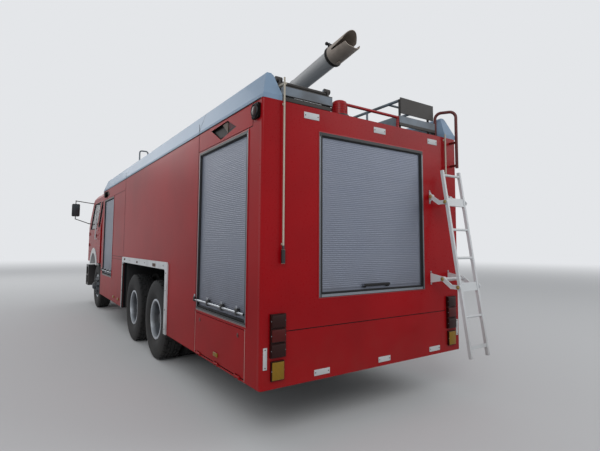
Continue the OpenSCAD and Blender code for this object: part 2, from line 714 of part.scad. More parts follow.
module coamings() color(pale) from_rear() both_sides() difference() {
    along_x(0, body_l) translate([0, seat]) polygon(coaming_out);
    along_x(coaming_slope + coaming_t, body_l - coaming_slope - coaming_t) polygon([
        [half_w - coaming_t, body_top - 1], [half_w - coaming_t, body_top + 30],
        [half_w - coaming_lean - coaming_t, body_top + coaming_h - 18],
        [half_w - coaming_lean - 17, body_top + coaming_h - coaming_t],
        [half_w - coaming_lean - 53, body_top + coaming_h - coaming_t],
        [half_w - coaming_lean - 70, body_top + coaming_h - 22],
        [half_w - coaming_w + coaming_t, body_top + 60], [half_w - coaming_w + coaming_t, body_top - 1]]);
    // Ends cut back at a slope
    along_y(half_w - coaming_w - 1, half_w + 1) polygon([[-1, body_top + 40],
        [coaming_slope, body_top + coaming_h + 1], [-1, body_top + coaming_h + 1]]);
    along_y(half_w - coaming_w - 1, half_w + 1) polygon([[body_l + 1, body_top + 40],
        [body_l + 1, body_top + coaming_h + 1], [body_l - coaming_slope, body_top + coaming_h + 1]]);
    // Seams of the sheet
    for (x = [rear_bay_l, trim_x1]) along_x(x, x + seam_w) polygon([
        [half_w + 1, body_top - 1], [half_w + 1, body_top + 32], [half_w - coaming_lean + 2, body_top + coaming_h],
        [half_w - coaming_lean - 3, body_top + coaming_h - 2], [half_w - 4, body_top + 28],
        [half_w - 4, body_top - 1]]);
}

// Roof equipment at the rear

rack_y0 = half_w - 820;
rack_y1 = half_w - 250;
rack_panel_z0 = body_top + 85;
rack_panel_z1 = body_top + 175;
rack_rail_z = body_top + 350;
rack_l = 2500;
ear_ys = [half_w - 750, half_w - 222];

module roof_racks() color("#6d757f") from_rear() {
    // Left: a panel on two feet with a roller between ears, for sliding a ladder off
    block(80, 100, ear_ys[0] - 30, ear_ys[1] + 4, rack_panel_z0, rack_panel_z1);
    block(84, 96, ear_ys[0] - 20, ear_ys[1] - 8, body_top + 40, rack_panel_z0 - 12);
    for (y = ear_ys) {
        block(100, 160, y - 20, y + 20, body_top + seat, rack_panel_z1 - 10);
        along_y(y - 8, y + 8) polygon([[100, rack_panel_z1 - 60], [200, rack_panel_z1 - 60],
            [160, rack_panel_z1 + 70], [110, rack_panel_z1 + 70]]);
    }
    for (y = [ear_ys[0] + 60, ear_ys[1] - 60]) block(96, 110, y - 15, y + 15, body_top + 50, rack_panel_z1 - 20);
    rod_y(135, rack_panel_z1 + 35, ear_ys[0] + 8, ear_ys[1] - 8, 18);
    for (y = ear_ys) rod_y(135, rack_panel_z1 + 60, y - 30, y + 30, 26);
    // Right: a panel at the same height, and a tubular rack with a closed rear end
    block(80, 100, -rack_y1, -rack_y0, body_top + 60, rack_panel_z1 - 10);
    block(100, 600, -rack_y1, -rack_y1 + 6, body_top + 12, rack_panel_z1 - 10);
    block(100, 600, -rack_y0 - 6, -rack_y0, body_top + 12, rack_panel_z1 - 10);
    block(80, 92, -rack_y1 + 25, -rack_y0 - 20, rack_panel_z1 + 20, rack_rail_z + 15);
    for (y = [-rack_y1 + 60, -rack_y0 - 55]) {
        rod_x(y, rack_rail_z, 92, rack_l, 16);
        for (x = [130, 640, 1500, rack_l - 40]) translate([x, y, body_top + seat])
            cylinder(r = 13, h = rack_rail_z - body_top - seat);
    }
    for (x = [300, 1000, 1900, rack_l - 20]) rod_y(x, rack_rail_z, -rack_y1 + 60, -rack_y0 - 55, 12);
    // Hoop over the tank vent, near the front on the left
    translate([trim_x1 + 80, 0, 0]) both_ends_of_hoop();
}

// A hoop of tube that stands on the deck along Y
module both_ends_of_hoop() {
    top = 3370;
    for (y = [860, 1010]) translate([0, y, body_top + seat]) cylinder(r = 13, h = top - body_top - 40);
    for (y = [[860, 1], [1010, -1]]) translate([0, y[0] + 40 * y[1], top - 40 + seat])
        rotate([0, 0, y[1] > 0 ? 180 : 0]) rotate([90, 0, 90]) translate([0, 0, 0])
            rotate_extrude(angle = 90) translate([40, 0]) circle(13);
    rod_y(0, top + seat, 900, 970, 13);
}

beacon_y = 370;

module beacon_rail() color("#c01018") from_rear() {
    // Red beacon on a foot, and the rail that runs from it to the right rack
    translate([100, beacon_y, body_top + seat]) rotate_extrude() polygon([[0, 0], [85, 0], [85, 20],
        [76, 24], [74, 130], [66, 148], [50, 158], [0, 160]]);
    rod_y(100, 2945, -rack_y0 + seat, beacon_y - 70, 15);
    block(88, 112, -rack_y0 + seat, -rack_y0 + 18, body_top + seat, 2945);
}

// Shutters

// Slats of a roller shutter: a drawing of depth against height, convex outwards
module slats(height) {
    n = floor(height / slat_pitch);
    polygon(concat([[0, 0]],
        [for (i = [0:n - 1], k = [0:3]) let (z = i * slat_pitch)
            [slat_t * 0.35 + [0, 1, 1, 0][k] * slat_t * 0.65, z + [0.08, 0.3, 0.72, 0.94][k] * slat_pitch]],
        [[slat_t * 0.35, height], [0, height]]));
}

// A shutter on the left side: slats, lower rail and lift bar
module side_shutter(b) {
    g = shutter_frame_w + seat;
    y = half_w - shutter_inset - slat_t;
    along_x(b[0] + g, b[1] - g) translate([y, b[2] + 70]) slats(b[3] - b[2] - 70 - g);
    block(b[0] + g, b[1] - g, y, y + slat_t, b[2] + g, b[2] + 70);
    rod_x(y + slat_t + 22, b[2] + 92, b[0] + 60, b[1] - 60, 9);
    for (x = [b[0] + 120, b[0] + (b[1] - b[0]) / 2, b[1] - 120])
        block(x - 12, x + 12, y + slat_t / 2, y + slat_t + 22, b[2] + 84, b[2] + 100);
}

module rear_shutter() {
    b = rear_bay;
    g = shutter_frame_w + seat;
    rotate([0, 0, 90]) {
        // Turned so that the left side's drawing faces the rear
        along_x(b[0] + g, b[1] - g) translate([-shutter_inset - slat_t, b[2] + 60]) slats(b[3] - b[2] - 60 - g);
        block(b[0] + g, b[1] - g, -shutter_inset - slat_t, -shutter_inset, b[2] + g, b[2] + 60);
        rod_x(-shutter_inset + 20, b[2] + 80, -170, 170, 9);
        for (x = [-150, 150]) block(x - 10, x + 10, -shutter_inset - slat_t / 2, -shutter_inset + 20, b[2] + 72, b[2] + 88);
    }
}

module shutters() color(alloy) from_rear() {
    both_sides() for (b = side_bays) side_shutter(b);
    rear_shutter();
}

// A rectangular frame drawn in the plane of an opening
module frame_ring(b) difference() {
    translate([b[0] - 10, b[2] - 10]) square([b[1] - b[0] + 20, b[3] - b[2] + 20]);
    translate([b[0] + shutter_frame_w, b[2] + shutter_frame_w])
        square([b[1] - b[0] - 2 * shutter_frame_w, b[3] - b[2] - 2 * shutter_frame_w]);
}

module frame_inner(b) difference() {
    translate([b[0] + seat, b[2] + seat]) square([b[1] - b[0] - 2 * seat, b[3] - b[2] - 2 * seat]);
    translate([b[0] + shutter_frame_w, b[2] + shutter_frame_w])
        square([b[1] - b[0] - 2 * shutter_frame_w, b[3] - b[2] - 2 * shutter_frame_w]);
}

module shutter_frames() color("#c3c9cf") from_rear() {
    both_sides() for (b = side_bays) {
        along_y(half_w - shutter_inset - slat_t - 12, half_w + seat) frame_inner(b);
        along_y(half_w + seat, half_w + 5) frame_ring(b);
    }
    along_x(-seat, shutter_inset + slat_t + 12) frame_inner(rear_bay);
    along_x(-5, -seat) frame_ring(rear_bay);
}

module arch_trims() color(white) from_rear() both_sides() along_y(half_w + seat, half_w + 18) difference() {
    polygon(concat([[trim_x0, body_bottom]], arc([trim_x0 + 40, trim_top - 40], 40, 180, 90, 4),
        arc([trim_x1 - 40, trim_top - 40], 40, 90, 0, 4), [[trim_x1, body_bottom]]));
    polygon([[arch_x0, body_bottom - 1], [arch_x0, arch_top - 25], [arch_x0 + 25, arch_top],
        [arch_x1 - 25, arch_top], [arch_x1, arch_top - 25], [arch_x1, body_bottom - 1]]);
}

// Lamps

tail_y = half_w - 155;

module tail_lamps() color("#7a1216") from_rear() both_sides() {
    for (z = [[700, 810], [815, 925], [930, 1040]]) block(-24, -seat, tail_y - 70, tail_y + 70, z[0], z[1]);
    block(-18, -seat, tail_y - 60, tail_y + 60, 520, 672);
}

module clear_lamps() color("#50565c") from_rear() both_sides() {
    for (x = lamp_pockets) intersection() {
        lamp_pocket(x, seat);
        // Lamp face slopes back into the pocket
        along_x(x, x + 620) polygon([[half_w - lamp_depth, shutter_top], [half_w - 8, shutter_top + 60],
            [half_w - 26, shutter_top + 200], [half_w - lamp_depth, shutter_top + 200]]);
    }
    for (x = [95, body_l - 330]) along_y(half_w + seat, half_w + 24)
        polygon(rounded(x - 60, body_top - 165, x + 60, body_top - 35, 20));
    for (y = [1020]) along_x(bumper_front - 50, bumper_front + 6)
        polygon(rounded(y - 150, 640, y + 150, 830, 40));
}

// Rear wall fittings

module handrails() color("#6d1a14") from_rear() {
    // Hoop at the right rear corner, from the rear face up and over onto the roof
    foot = [-90, 100 - half_w];
    over = [100, 220 - half_w];
    low = body_top - 350;
    span = norm(over - foot);
    bend = 70;
    top = body_top + 295;
    translate([foot[0], foot[1], 0]) rotate([0, 0, atan2(over[1] - foot[1], over[0] - foot[0])]) {
        translate([0, 0, low]) cylinder(r = 17, h = top - bend - low);
        translate([span, 0, body_top + seat]) cylinder(r = 17, h = top - bend - body_top - seat);
        translate([bend, 0, top - bend]) rotate([90, 0, 0]) rotate([0, 0, 90]) rotate_extrude(angle = 90) translate([bend, 0]) circle(17);
        translate([span - bend, 0, top - bend]) rotate([90, 0, 0]) rotate_extrude(angle = 90) translate([bend, 0]) circle(17);
        translate([bend, 0, top]) rotate([0, 90, 0]) cylinder(r = 17, h = span - 2 * bend);
    }
    for (z = [low + 30, body_top - 60]) block(foot[0], -seat, foot[1] - 8, foot[1] + 8, z - 12, z + 12);
}

// Rods that hang down the rear face in clips: place across, length, and whether there is a grip at the end
pull_rods_at = [[half_w - 190, 1445, true], [half_w * -0.832, 480, false]];

module pull_rods() color("#c9c4b8") from_rear() for (r = pull_rods_at) {
    top = body_top + (r[2] ? 195 : 30);
    translate([-26, r[0], top - r[1]]) cylinder(r = 8, h = r[1]);
    if (r[2]) block(-26, 100 - seat, ear_ys[1] + 8, r[0] + 4, rack_panel_z0 + 55, rack_panel_z0 + 71);
    if (r[2]) translate([-26, r[0], top - r[1] - 110]) cylinder(r = 16, h = 112);
    for (z = [top - r[1] + 40, body_top - 40]) block(-26, -seat, r[0] - 6, r[0] + 6, z, z + 16);
}

rail_ys = [-ladder_y - ladder_w / 2, -ladder_y + ladder_w / 2 - ladder_rail_t];
lug_t = 15;
arm_gap = 5;

// The inner side of each pair of lugs and arms: the left and the right edge of the ladder
lug_ys = [-ladder_y - ladder_w / 2, -ladder_y + ladder_w / 2 - lug_t];
arm_ys = [-ladder_y - ladder_w / 2 - arm_gap - arm_t, -ladder_y + ladder_w / 2 + arm_gap];

// A gusset with a foot on the wall and an eye at p, reaching down and up from the eye's height
module bracket(p, down, up) {
    w = 18;
    translate(p) circle(24);
    polygon([[-seat, p[1] - down], [-9, p[1] - down], p - [0, w], p + [0, w], [-9, p[1] + up], [-seat, p[1] + up]]);
}

module ladder_brackets() color(white) from_rear() {
    for (i = [0, 1]) ladder_bracket(i);
    // Tube that ties the lower brackets
    rod_y(pin_d[0], pin_d[1], lug_ys[0] + lug_t - 1, lug_ys[1] + 1, 14);
}

module ladder_bracket(i) {
    y0 = lug_ys[i];
    pin_y0 = i == 0 ? arm_ys[0] - 6 : y0;
    pin_y1 = i == 0 ? y0 + lug_t : arm_ys[1] + arm_t + 6;
    along_y(y0, y0 + lug_t) {
        bracket(pin_a, 50, 50);
        bracket(pin_d, 48, 48);
    }
    rod_y(pin_a[0], pin_a[1], pin_y0, pin_y1, pin_r);
    rod_y(pin_d[0], pin_d[1], pin_y0, pin_y1, pin_r);
}

// A bent arm between two pins, with a bore at each
module bent_arm(a, b) difference() {
    elbow = a + 0.55 * (b - a) + [0, -arm_l * 0.17];
    union() {
        bent_bar(a, elbow, b, 21);
        for (p = [a, b]) translate(p) circle(26);
    }
    translate(a) circle(pin_r + run);
    translate(b) circle(pin_r + run);
}

module ladder_arms_upper() color(white) from_rear() for (y = arm_ys)
    along_y(y, y + arm_t) bent_arm(pin_a, pin_b);

module ladder_arms_lower() color(white) from_rear() for (y = arm_ys)
    along_y(y, y + arm_t) bent_arm(pin_d, pin_c);

module ladder() color(white) from_rear() {
    translate([pin_b[0], 0, pin_b[1]]) rotate([0, ladder_lean, 0]) {
        z_top = rail_top_l;
        for (y = rail_ys) block(-rail_depth / 2, rail_depth / 2, y, y + ladder_rail_t, z_top - ladder_l, z_top);
        last = floor((ladder_l - 72) / rung_pitch);
        for (i = [0:last]) {
            z = z_top - 50 - i * rung_pitch;
            if (i == 1 || i == 4) block(-10, 10, rail_ys[0] + 1, rail_ys[1] + 1, z - 42, z + 42);
            else if (i == last) block(-12, 12, rail_ys[0] + 1, rail_ys[1] + 1, z - 17, z + 17);
            else rod_y(0, z, rail_ys[0] + 1, rail_ys[1] + 1, 13);
        }
        for (z = [0, -pin_span]) {
            rod_y(0, z, arm_ys[0] - 6, rail_ys[0] + 1, pin_r);
            rod_y(0, z, rail_ys[1] + ladder_rail_t - 1, arm_ys[1] + arm_t + 6, pin_r);
        }
    }
}

// Step flaps

flap_knuckles = [flap_x0 + 120, (flap_x0 + flap_x1) / 2, flap_x1 - 120];

module flap() {
    top = flap_z1 - flap_gap;
    difference() {
        block(flap_x0 + flap_gap, flap_x1 - flap_gap, half_w - flap_t, half_w, flap_pin_z + 4, top);
        // Hollow inner side, a pressed tray
        block(flap_x0 + flap_gap + 25, flap_x1 - flap_gap - 25, half_w - flap_t - 1, half_w - 8, flap_pin_z + 34, top - 30);
        for (x = flap_knuckles) block(x - 52, x + 52, half_w - 12, half_w + 1, flap_pin_z - 1, flap_pin_z + 16);
    }
    for (x = flap_knuckles) difference() {
        union() {
            rod_x(flap_pin_y, flap_pin_z, x - 20, x + 20, flap_hinge_r);
            block(x - 20, x + 20, half_w - 12, flap_pin_y, flap_pin_z, flap_pin_z + flap_hinge_r);
            block(x - 20, x + 20, half_w - 14, half_w - 6, flap_pin_z, flap_pin_z + 18);
        }
        rod_x(flap_pin_y, flap_pin_z, x - 21, x + 21, 4 + run);
    }
}

module flap_left() color(red) from_rear() flap();
module flap_right() color(red) from_rear() mirror([0, 1, 0]) flap();

// Pins and fixed barrels of the flap hinges
module flap_pins() for (x = flap_knuckles) {
    rod_x(flap_pin_y, flap_pin_z, x - 50, x + 50, 4);
    for (s = [-1, 1]) {
        rod_x(flap_pin_y, flap_pin_z, x + s * 36 - 14, x + s * 36 + 14, flap_hinge_r);
        block(x + s * 36 - 14, x + s * 36 + 14, half_w - 1, flap_pin_y + 2, body_bottom + 2, flap_pin_z);
    }
}

// Bumper

bumper_x0 = bumper_front - bumper_side_l - 60;

module front_bumper() color("#2a2c2f") from_rear() {
    difference() {
        translate([0, 0, bumper_z0]) linear_extrude(bumper_z1 - bumper_z0) polygon(concat(
            [[bumper_x0, -cab_half]], arc([bumper_front - 120, -cab_half + 120], 120, 270, 360, 5),
            arc([bumper_front - 120, cab_half - 120], 120, 0, 90, 5), [[bumper_x0, cab_half]]));
        // Hollow behind the front plate, open between the step boxes
        block(bumper_x0 - 1, bumper_front - 60, -cab_half + 330, cab_half - 330, bumper_z0 - 1, bumper_z1 + 1);
        both_sides() {
            block(bumper_x0 + 60, bumper_front - 110, cab_half - 260, cab_half + 1, bumper_z0 + 60, 735);
            block(bumper_x0 + 60, bumper_front - 110, cab_half - 260, cab_half + 1, 775, bumper_z1 - 60);
            along_x(bumper_front - 50 - seat, bumper_front + 1) polygon(rounded(1020 - 150 - seat, 640 - seat, 1020 + 150 + seat, 830 + seat, 40));
        }
        // Air intake
        for (z = [620, 700, 780]) block(bumper_front - 30, bumper_front + 1, -420, 420, z, z + 45);
    }
    // Brackets back to the frame rails
    both_sides() block(cab_front + 40 + seat, bumper_front - 59, rail_y - rail_flange, rail_y, rail_z0 + 40, frame_top - 60);
    // Towing ears with a hole for a drop pin
    tow_ears();
}

tow_hole_r = 20;
tow_z = 560;

module tow_ears() difference() {
    for (z = [tow_z - 50, tow_z + 30]) translate([0, 0, z]) linear_extrude(20) polygon(concat(
        [[bumper_front - 40, -60]], arc([bumper_front + tow_reach - 45, 0], 45, -90, 90, 8),
        [[bumper_front - 40, 60]]));
    translate([bumper_front + tow_reach - 45, 0, tow_z - 60]) cylinder(r = tow_hole_r, h = 120);
}

// Cab

// Side view, plan and front view of the cab, each drawn smaller by the inset i
function cab_side(i) = [[cab_rear + i, floor_z - 300], [cab_front - i, floor_z - 300], [cab_front - i, waist_z],
    [cab_front - screen_rake - i, roof_z - 235], [cab_front - screen_rake - 100 - i * 0.8, roof_z - 130 - i * 0.6],
    [cab_front - screen_rake - 330 - i * 0.3, roof_z - 40 - i], [cab_front - 1250, roof_z - i],
    [cab_rear + 110, roof_z - i], [cab_rear + i, roof_z - 90 - i * 0.4]];
function cab_front_view(i) = let (h = cab_half - i, t = cab_top_w / 2 - i) [[-h, floor_z - 300], [h, floor_z - 300],
    [h, waist_z], [t, roof_z - 150], [t - 60, roof_z - 60 - i * 0.7], [t - 200, roof_z - i],
    [-t + 200, roof_z - i], [-t + 60, roof_z - 60 - i * 0.7], [-t, roof_z - 150], [-h, waist_z]];
function cab_plan(i) = let (r = cab_corner_r - i) concat([[cab_rear + i, -cab_half + i]],
    arc([cab_front - cab_corner_r, -cab_half + cab_corner_r], r, 270, 360, 5),
    arc([cab_front - cab_corner_r, cab_half - cab_corner_r], r, 0, 90, 5), [[cab_rear + i, cab_half - i]]);

// Half width of the cab at a height above the waist
function cab_y(z) = cab_half - (z - waist_z) * (cab_half - cab_top_w / 2) / (roof_z - 150 - waist_z);

module cab_solid(i, z0) intersection() {
    along_y(-cab_half, cab_half) polygon(cab_side(i));
    along_x(cab_rear, cab_front) polygon(cab_front_view(i));
    translate([0, 0, z0]) linear_extrude(roof_z - z0) polygon(cab_plan(i));
}

module cab_skin() difference() {
    cab_solid(0, floor_z);
    cab_solid(cab_t, floor_z + 30);
}

// Outline of a left door, grown by g
module door_outline(g) difference() {
    translate([door_x0 - g, door_z0 - g]) square([door_l + 2 * g, door_z1 - door_z0 + 2 * g]);
    translate([fender_x, fender_z]) circle(fender_r + door_gap - g);
}

module door_prism(g) along_y(cab_half - 250, cab_half + 1) door_outline(g);

module door_window(g) along_y(cab_half - 251, cab_half + 2) polygon([[door_x0 + 90 - g, waist_z + 10 - g],
    [door_x1 - 60 + g, waist_z + 10 - g], [door_x1 - 120 + g, door_z1 - 65 + g], [door_x0 + 90 - g, door_z1 - 65 + g]]);

module quarter_window(g) along_y(cab_half - 251, cab_half + 2)
    polygon(rounded(cab_rear + 120 - g, waist_z + 40 - g, door_x0 - 100 + g, door_z1 - 80 + g, 40));

module windscreen_cut(g) block(cab_front - 420, cab_front + 1, -1060 - g, 1060 + g, waist_z + 40 - g, roof_z - 275 + g);

hump_y = rail_y + 5;
hump_x1 = engine_x1 + 80;
hump_z1 = floor_z + 260;

module cab_shell() color(red) from_rear() difference() {
    union() {
        difference() {
            cab_skin();
            both_sides() {
                door_prism(door_gap);
                quarter_window(0);
            }
            windscreen_cut(0);
            // Grille slots in the front panel
            for (i = [0:4]) block(cab_front - 28, cab_front + 1, -760, 760, floor_z + 60 + i * 95, floor_z + 115 + i * 95);
        }
        // Skirt below the floor, open at the rear
        difference() {
            translate([0, 0, skirt_z]) linear_extrude(floor_z - skirt_z) difference() {
                polygon(cab_plan(0));
                polygon(cab_plan(cab_t));
            }
            block(cab_rear - 1, cab_rear + cab_t + 1, -cab_half + cab_t, cab_half - cab_t, skirt_z - 1, floor_z);
        }
        // Engine cover
        block(cab_rear + cab_t, hump_x1, -hump_y, hump_y, floor_z, hump_z1);
        // Arms down to the tilt pins
        both_sides() along_y(rail_y - 75, rail_y - 45) {
            translate([tilt_x - tilt_r, tilt_z]) square([2 * tilt_r, floor_z - tilt_z + 5]);
            translate([tilt_x, tilt_z]) circle(tilt_r);
        }
        // Ears and pins of the door hinges
        both_sides() door_hinge_ears();
    }
    block(cab_rear + cab_t, hump_x1 - 25, -hump_y + 25, hump_y - 25, floor_z - 1, hump_z1 - 25);
    both_sides() {
        rod_y(tilt_x, tilt_z, rail_y - 80, rail_y - 40, 20 + run);
        // Room for the front tyre under the white arch
        rod_y(fender_x, fender_z, cab_half - 390, cab_half + 1, fender_r - fender_band + seat);
        rod_y(fender_x, fender_z, cab_half - cab_t - 1, cab_half + 1, fender_r + seat);
    }
}

door_hinge_zs = [door_z0 + 180, waist_z - 100];

module door_hinge_ears() for (z = door_hinge_zs) {
    for (s = [-1, 1]) translate([door_pin_x, door_pin_y, z + s * 32 - 12]) cylinder(r = 10, h = 24);
    translate([door_pin_x, door_pin_y, z - 44]) cylinder(r = 5, h = 88);
    for (s = [-1, 1]) block(door_pin_x, door_pin_x + 40, cab_half - 10, door_pin_y + 4, z + s * 32 - 12, z + s * 32 + 12);
}

module door() {
    difference() {
        intersection() {
            difference() {
                cab_solid(0, floor_z);
                cab_solid(cab_t, floor_z - 1);
            }
            door_prism(0);
        }
        door_window(0);
    }
    for (z = door_hinge_zs) difference() {
        union() {
            translate([door_pin_x, door_pin_y, z - 19]) cylinder(r = 10, h = 38);
            block(door_x1 - 60, door_pin_x, cab_half - 2, door_pin_y + 4, z - 19, z + 19);
        }
        translate([door_pin_x, door_pin_y, z - 20]) cylinder(r = 5 + run, h = 40);
    }
}

module door_left() color(red) from_rear() door();
module door_right() color(red) from_rear() mirror([0, 1, 0]) door();

module pane() difference() {
    cab_solid(14, floor_z);
    cab_solid(14 + glass_t, floor_z - 1);
}

module door_glass() intersection() {
    pane();
    door_window(-seat);
}

module door_glass_left() color("#5b6b75") from_rear() door_glass();
module door_glass_right() color("#5b6b75") from_rear() mirror([0, 1, 0]) door_glass();

module cab_glass() color("#5b6b75") from_rear() {
    intersection() {
        pane();
        windscreen_cut(-seat);
    }
    both_sides() intersection() {
        pane();
        quarter_window(-seat);
    }
}

module cab_fenders() color(white) from_rear() both_sides() difference() {
    union() {
        // Raised band on the cab side, and the guard that reaches in over the tyre
        rod_y(fender_x, fender_z, cab_half - cab_t, cab_half + 18, fender_r);
        rod_y(fender_x, fender_z, cab_half - 385, cab_half - cab_t, fender_r - fender_band);
    }
    rod_y(fender_x, fender_z, cab_half - cab_t + 8, cab_half + 19, fender_r - fender_band);
    rod_y(fender_x, fender_z, cab_half - 386, cab_half + 19, fender_r - fender_band - 12);
    block(fender_x - 700, fender_x + 700, cab_half - 400, cab_half + 20, fender_z - 700, 1075);
}

module cab_handles() color(white) from_rear() both_sides() {
    x = door_x0 - 60;
    y = cab_half + 45;
    low = waist_z - 250;
    top = waist_z + 450;
    translate([x, y, low]) cylinder(r = 14, h = top - low);
    for (z = [low + 14, waist_z - 20]) rod_y(x, z, cab_half + seat, y, 10);
    rod_y(x, top - 20, cab_y(top - 30) + seat, y, 10);
}

mirror_out = 355;

module cab_mirrors() color("#1e1f21") from_rear() both_sides() {
    x = cab_front - 160;
    y = cab_half + mirror_out;
    low = waist_z + 300;
    top = waist_z + 820;
    translate([x, y, low]) cylinder(r = 11, h = top - low);
    foot_x = cab_front - cab_corner_r - 60;
    for (z = [[top - 14, top - 70], [low + 14, low - 110]]) {
        foot_y = cab_y(z[1] - 12) + seat;
        rod([x, y, z[0]], [foot_x, foot_y + 40, z[1]], 11);
        translate([foot_x, foot_y + 40, z[1]]) sphere(r = 14);
        rod_y(foot_x, z[1], foot_y, foot_y + 40, 12);
    }
    along_x(x - 75, x - 11) polygon(rounded(y - 95, low + 80, y + 95, top - 100, 30));
}

cab_floor = floor_z + 30 + seat;
seat_x = cab_rear + seat_front;
cushion_z = cab_floor + seat_base_h + seat;

module seats() color("#2f3236") from_rear() both_sides() along_y(seat_y - seat_w / 2, seat_y + seat_w / 2) {
    back_x = seat_x - cushion_l;
    polygon([[back_x - 110, cushion_z], [seat_x - 30, cushion_z],
        [seat_x, cushion_z + cushion_t * 0.6], [seat_x - 30, cushion_z + cushion_t], [back_x, cushion_z + cushion_t],
        [back_x - 110, cushion_z + cushion_t + seat_back_h], [back_x - 220, cushion_z + cushion_t + seat_back_h]]);
}

module cab_interior() color("#3a3c40") from_rear() {
    base = cab_floor;
    both_sides() block(seat_x - cushion_l - 50, seat_x - 50, seat_y - seat_w / 2 + 40, seat_y + seat_w / 2 - 40,
        base, base + seat_base_h);
    // Dashboard
    along_y(-1050, 1050) polygon([[cab_front - 380, base], [cab_front - 180, base], [cab_front - 150, waist_z - 20],
        [cab_front - 420, waist_z - 20], [cab_front - 470, waist_z - 120], [cab_front - 430, waist_z - 260]]);
    // Steering wheel on its column
    rod([cab_front - 420, seat_y, waist_z - 130], [cab_front - 560, seat_y, waist_z + 20], 22);
    translate([cab_front - 560, seat_y, waist_z + 20]) rotate([0, -43, 0]) {
        rotate_extrude() translate([215, 0]) circle(15);
        for (a = [0, 120, 240]) rotate([0, 0, a]) rotate([0, 90, 0]) cylinder(r = 10, h = 208);
        cylinder(r = 40, h = 30, center = true);
    }
}

module light_bar() color("#27408b") from_rear() {
    x = cab_rear + 620;
    z = roof_z + seat;
    for (y = [-420, 420]) block(x - 60, x + 60, y - 30, y + 30, z, z + 25);
    along_y(-780, 780) polygon(concat([[x - 120, z + 25], [x + 120, z + 25]], arc([x + 70, z + 85], 50, 0, 90, 4),
        arc([x - 70, z + 85], 50, 90, 180, 4)));
}

// Monitor

riser_top = monitor_z - 230;

module monitor_riser() color(alloy) from_rear() translate([monitor_x, 0, 0]) difference() {
    union() {
        translate([0, 0, body_top + seat]) cylinder(r = 170, h = 25);
        translate([0, 0, body_top + seat]) cylinder(r = 82, h = riser_top - body_top - seat);
        translate([0, 0, riser_top - 45]) cylinder(r = 130, h = 45);
        // Webs that stiffen the pipe on its flange
        for (a = [0:45:135]) rotate([0, 0, a]) translate([-150, -6, body_top + 20]) cube([300, 12, 30]);
    }
    translate([0, 0, body_top]) cylinder(r = 70, h = riser_top);
}

head_y = 125;
head_t = 30;

module monitor_head() color("#3b4046") from_rear() translate([monitor_x, 0, 0]) {
    z = riser_top + seat;
    translate([0, 0, z]) cylinder(r = 118, h = 45);
    translate([0, 0, z + 45]) cylinder(r = 72, h = 25);
    both_sides() difference() {
        union() {
            along_y(head_y, head_y + head_t) {
                translate([0, monitor_z]) circle(58);
                polygon([[-58, monitor_z], [58, monitor_z], [80, z + 20], [-80, z + 20]]);
            }
            block(-80, 80, 60, head_y + head_t, z + 5, z + 45);
        }
        rod_y(0, monitor_z, head_y - 1, head_y + head_t + 1, 28 + run);
    }
    // Gearbox of the turning drive
    translate([150, 0, z]) cylinder(r = 45, h = 120);
    block(90, 150, -30, 30, z, z + 45);
}

module aimed() from_rear() translate([monitor_x, 0, monitor_z]) rotate([0, barrel_lift, 0]) children();

// The barrel points to the rear, so its length runs along minus X from the tilt axis
module monitor_barrel() color("#b9c0c8") aimed() {
    difference() {
        rotate([0, -90, 0]) rotate_extrude() polygon([
            [0, -115], [60, -110], [98, -70], [104, 0], [104, 180], [barrel_r + 4, 230],
            [barrel_r, 260], [outlet_r, barrel_l - 75], [outlet_r, barrel_l], [outlet_r - barrel_wall, barrel_l],
            [outlet_r - barrel_wall, barrel_l - 80], [barrel_r - barrel_wall, 255], [barrel_r - barrel_wall, 120],
            [0, 120]]);
    }
    both_sides() rod_y(0, 0, 95, head_y + head_t + 8, 28);
    // Handle of the hand drive on the barrel's rear part
    rod_y(-150, -60, 60, 160, 14);
}

lip_r = outlet_r + 15;
lip_round = 150;

module monitor_deflector() color("#34373b") aimed() {
    // Collar
    rotate([0, -90, 0]) rotate_extrude() polygon([[outlet_r + seat, barrel_l - 70], [lip_r + 8, barrel_l - 70],
        [lip_r + 8, barrel_l - 58], [lip_r, barrel_l - 58], [lip_r, barrel_l + 20], [outlet_r - barrel_wall, barrel_l + 20],
        [outlet_r - barrel_wall, barrel_l + seat], [outlet_r + seat, barrel_l + seat]]);
    // Split lips
    tip = barrel_l + jaw_l;
    difference() {
        rotate([0, -90, 0]) rotate_extrude() polygon([[lip_r, barrel_l + 19], [lip_r - 3, tip],
            [lip_r - 10, tip], [lip_r - 7, barrel_l + 19]]);
        // Gap between the lips, wider towards the mouth
        along_y(-200, 200) polygon([[-barrel_l - 45, -10], [-tip - 1, -32], [-tip - 1, 32], [-barrel_l - 45, 10]]);
        // Rounded upper lip and pointed lower lip
        difference() {
            block(-tip - 1, -tip + lip_round, -200, 200, 0, 200);
            translate([-tip + lip_round, 0, -1]) scale([lip_round / (lip_r + 1), 1, 1]) cylinder(r = lip_r + 1, h = 202);
        }
        translate([0, 0, -200]) linear_extrude(200) polygon([[-tip - 1, -40], [-tip - 1, -200], [-tip + 90, -200]]);
        translate([0, 0, -200]) linear_extrude(200) polygon([[-tip - 1, 40], [-tip - 1, 200], [-tip + 90, 200]]);
    }
    // Bracket of the lip linkage
    both_sides() block(-barrel_l + 40, -barrel_l + 68, 40, 58, outlet_r, lip_r + 38);
    rod_y(-barrel_l + 54, lip_r + 26, -76, 76, 9);
    // Stop under the lower lip
    block(-barrel_l - 40, -barrel_l + 5, -14, 14, -lip_r - 14, -lip_r + 3);
}

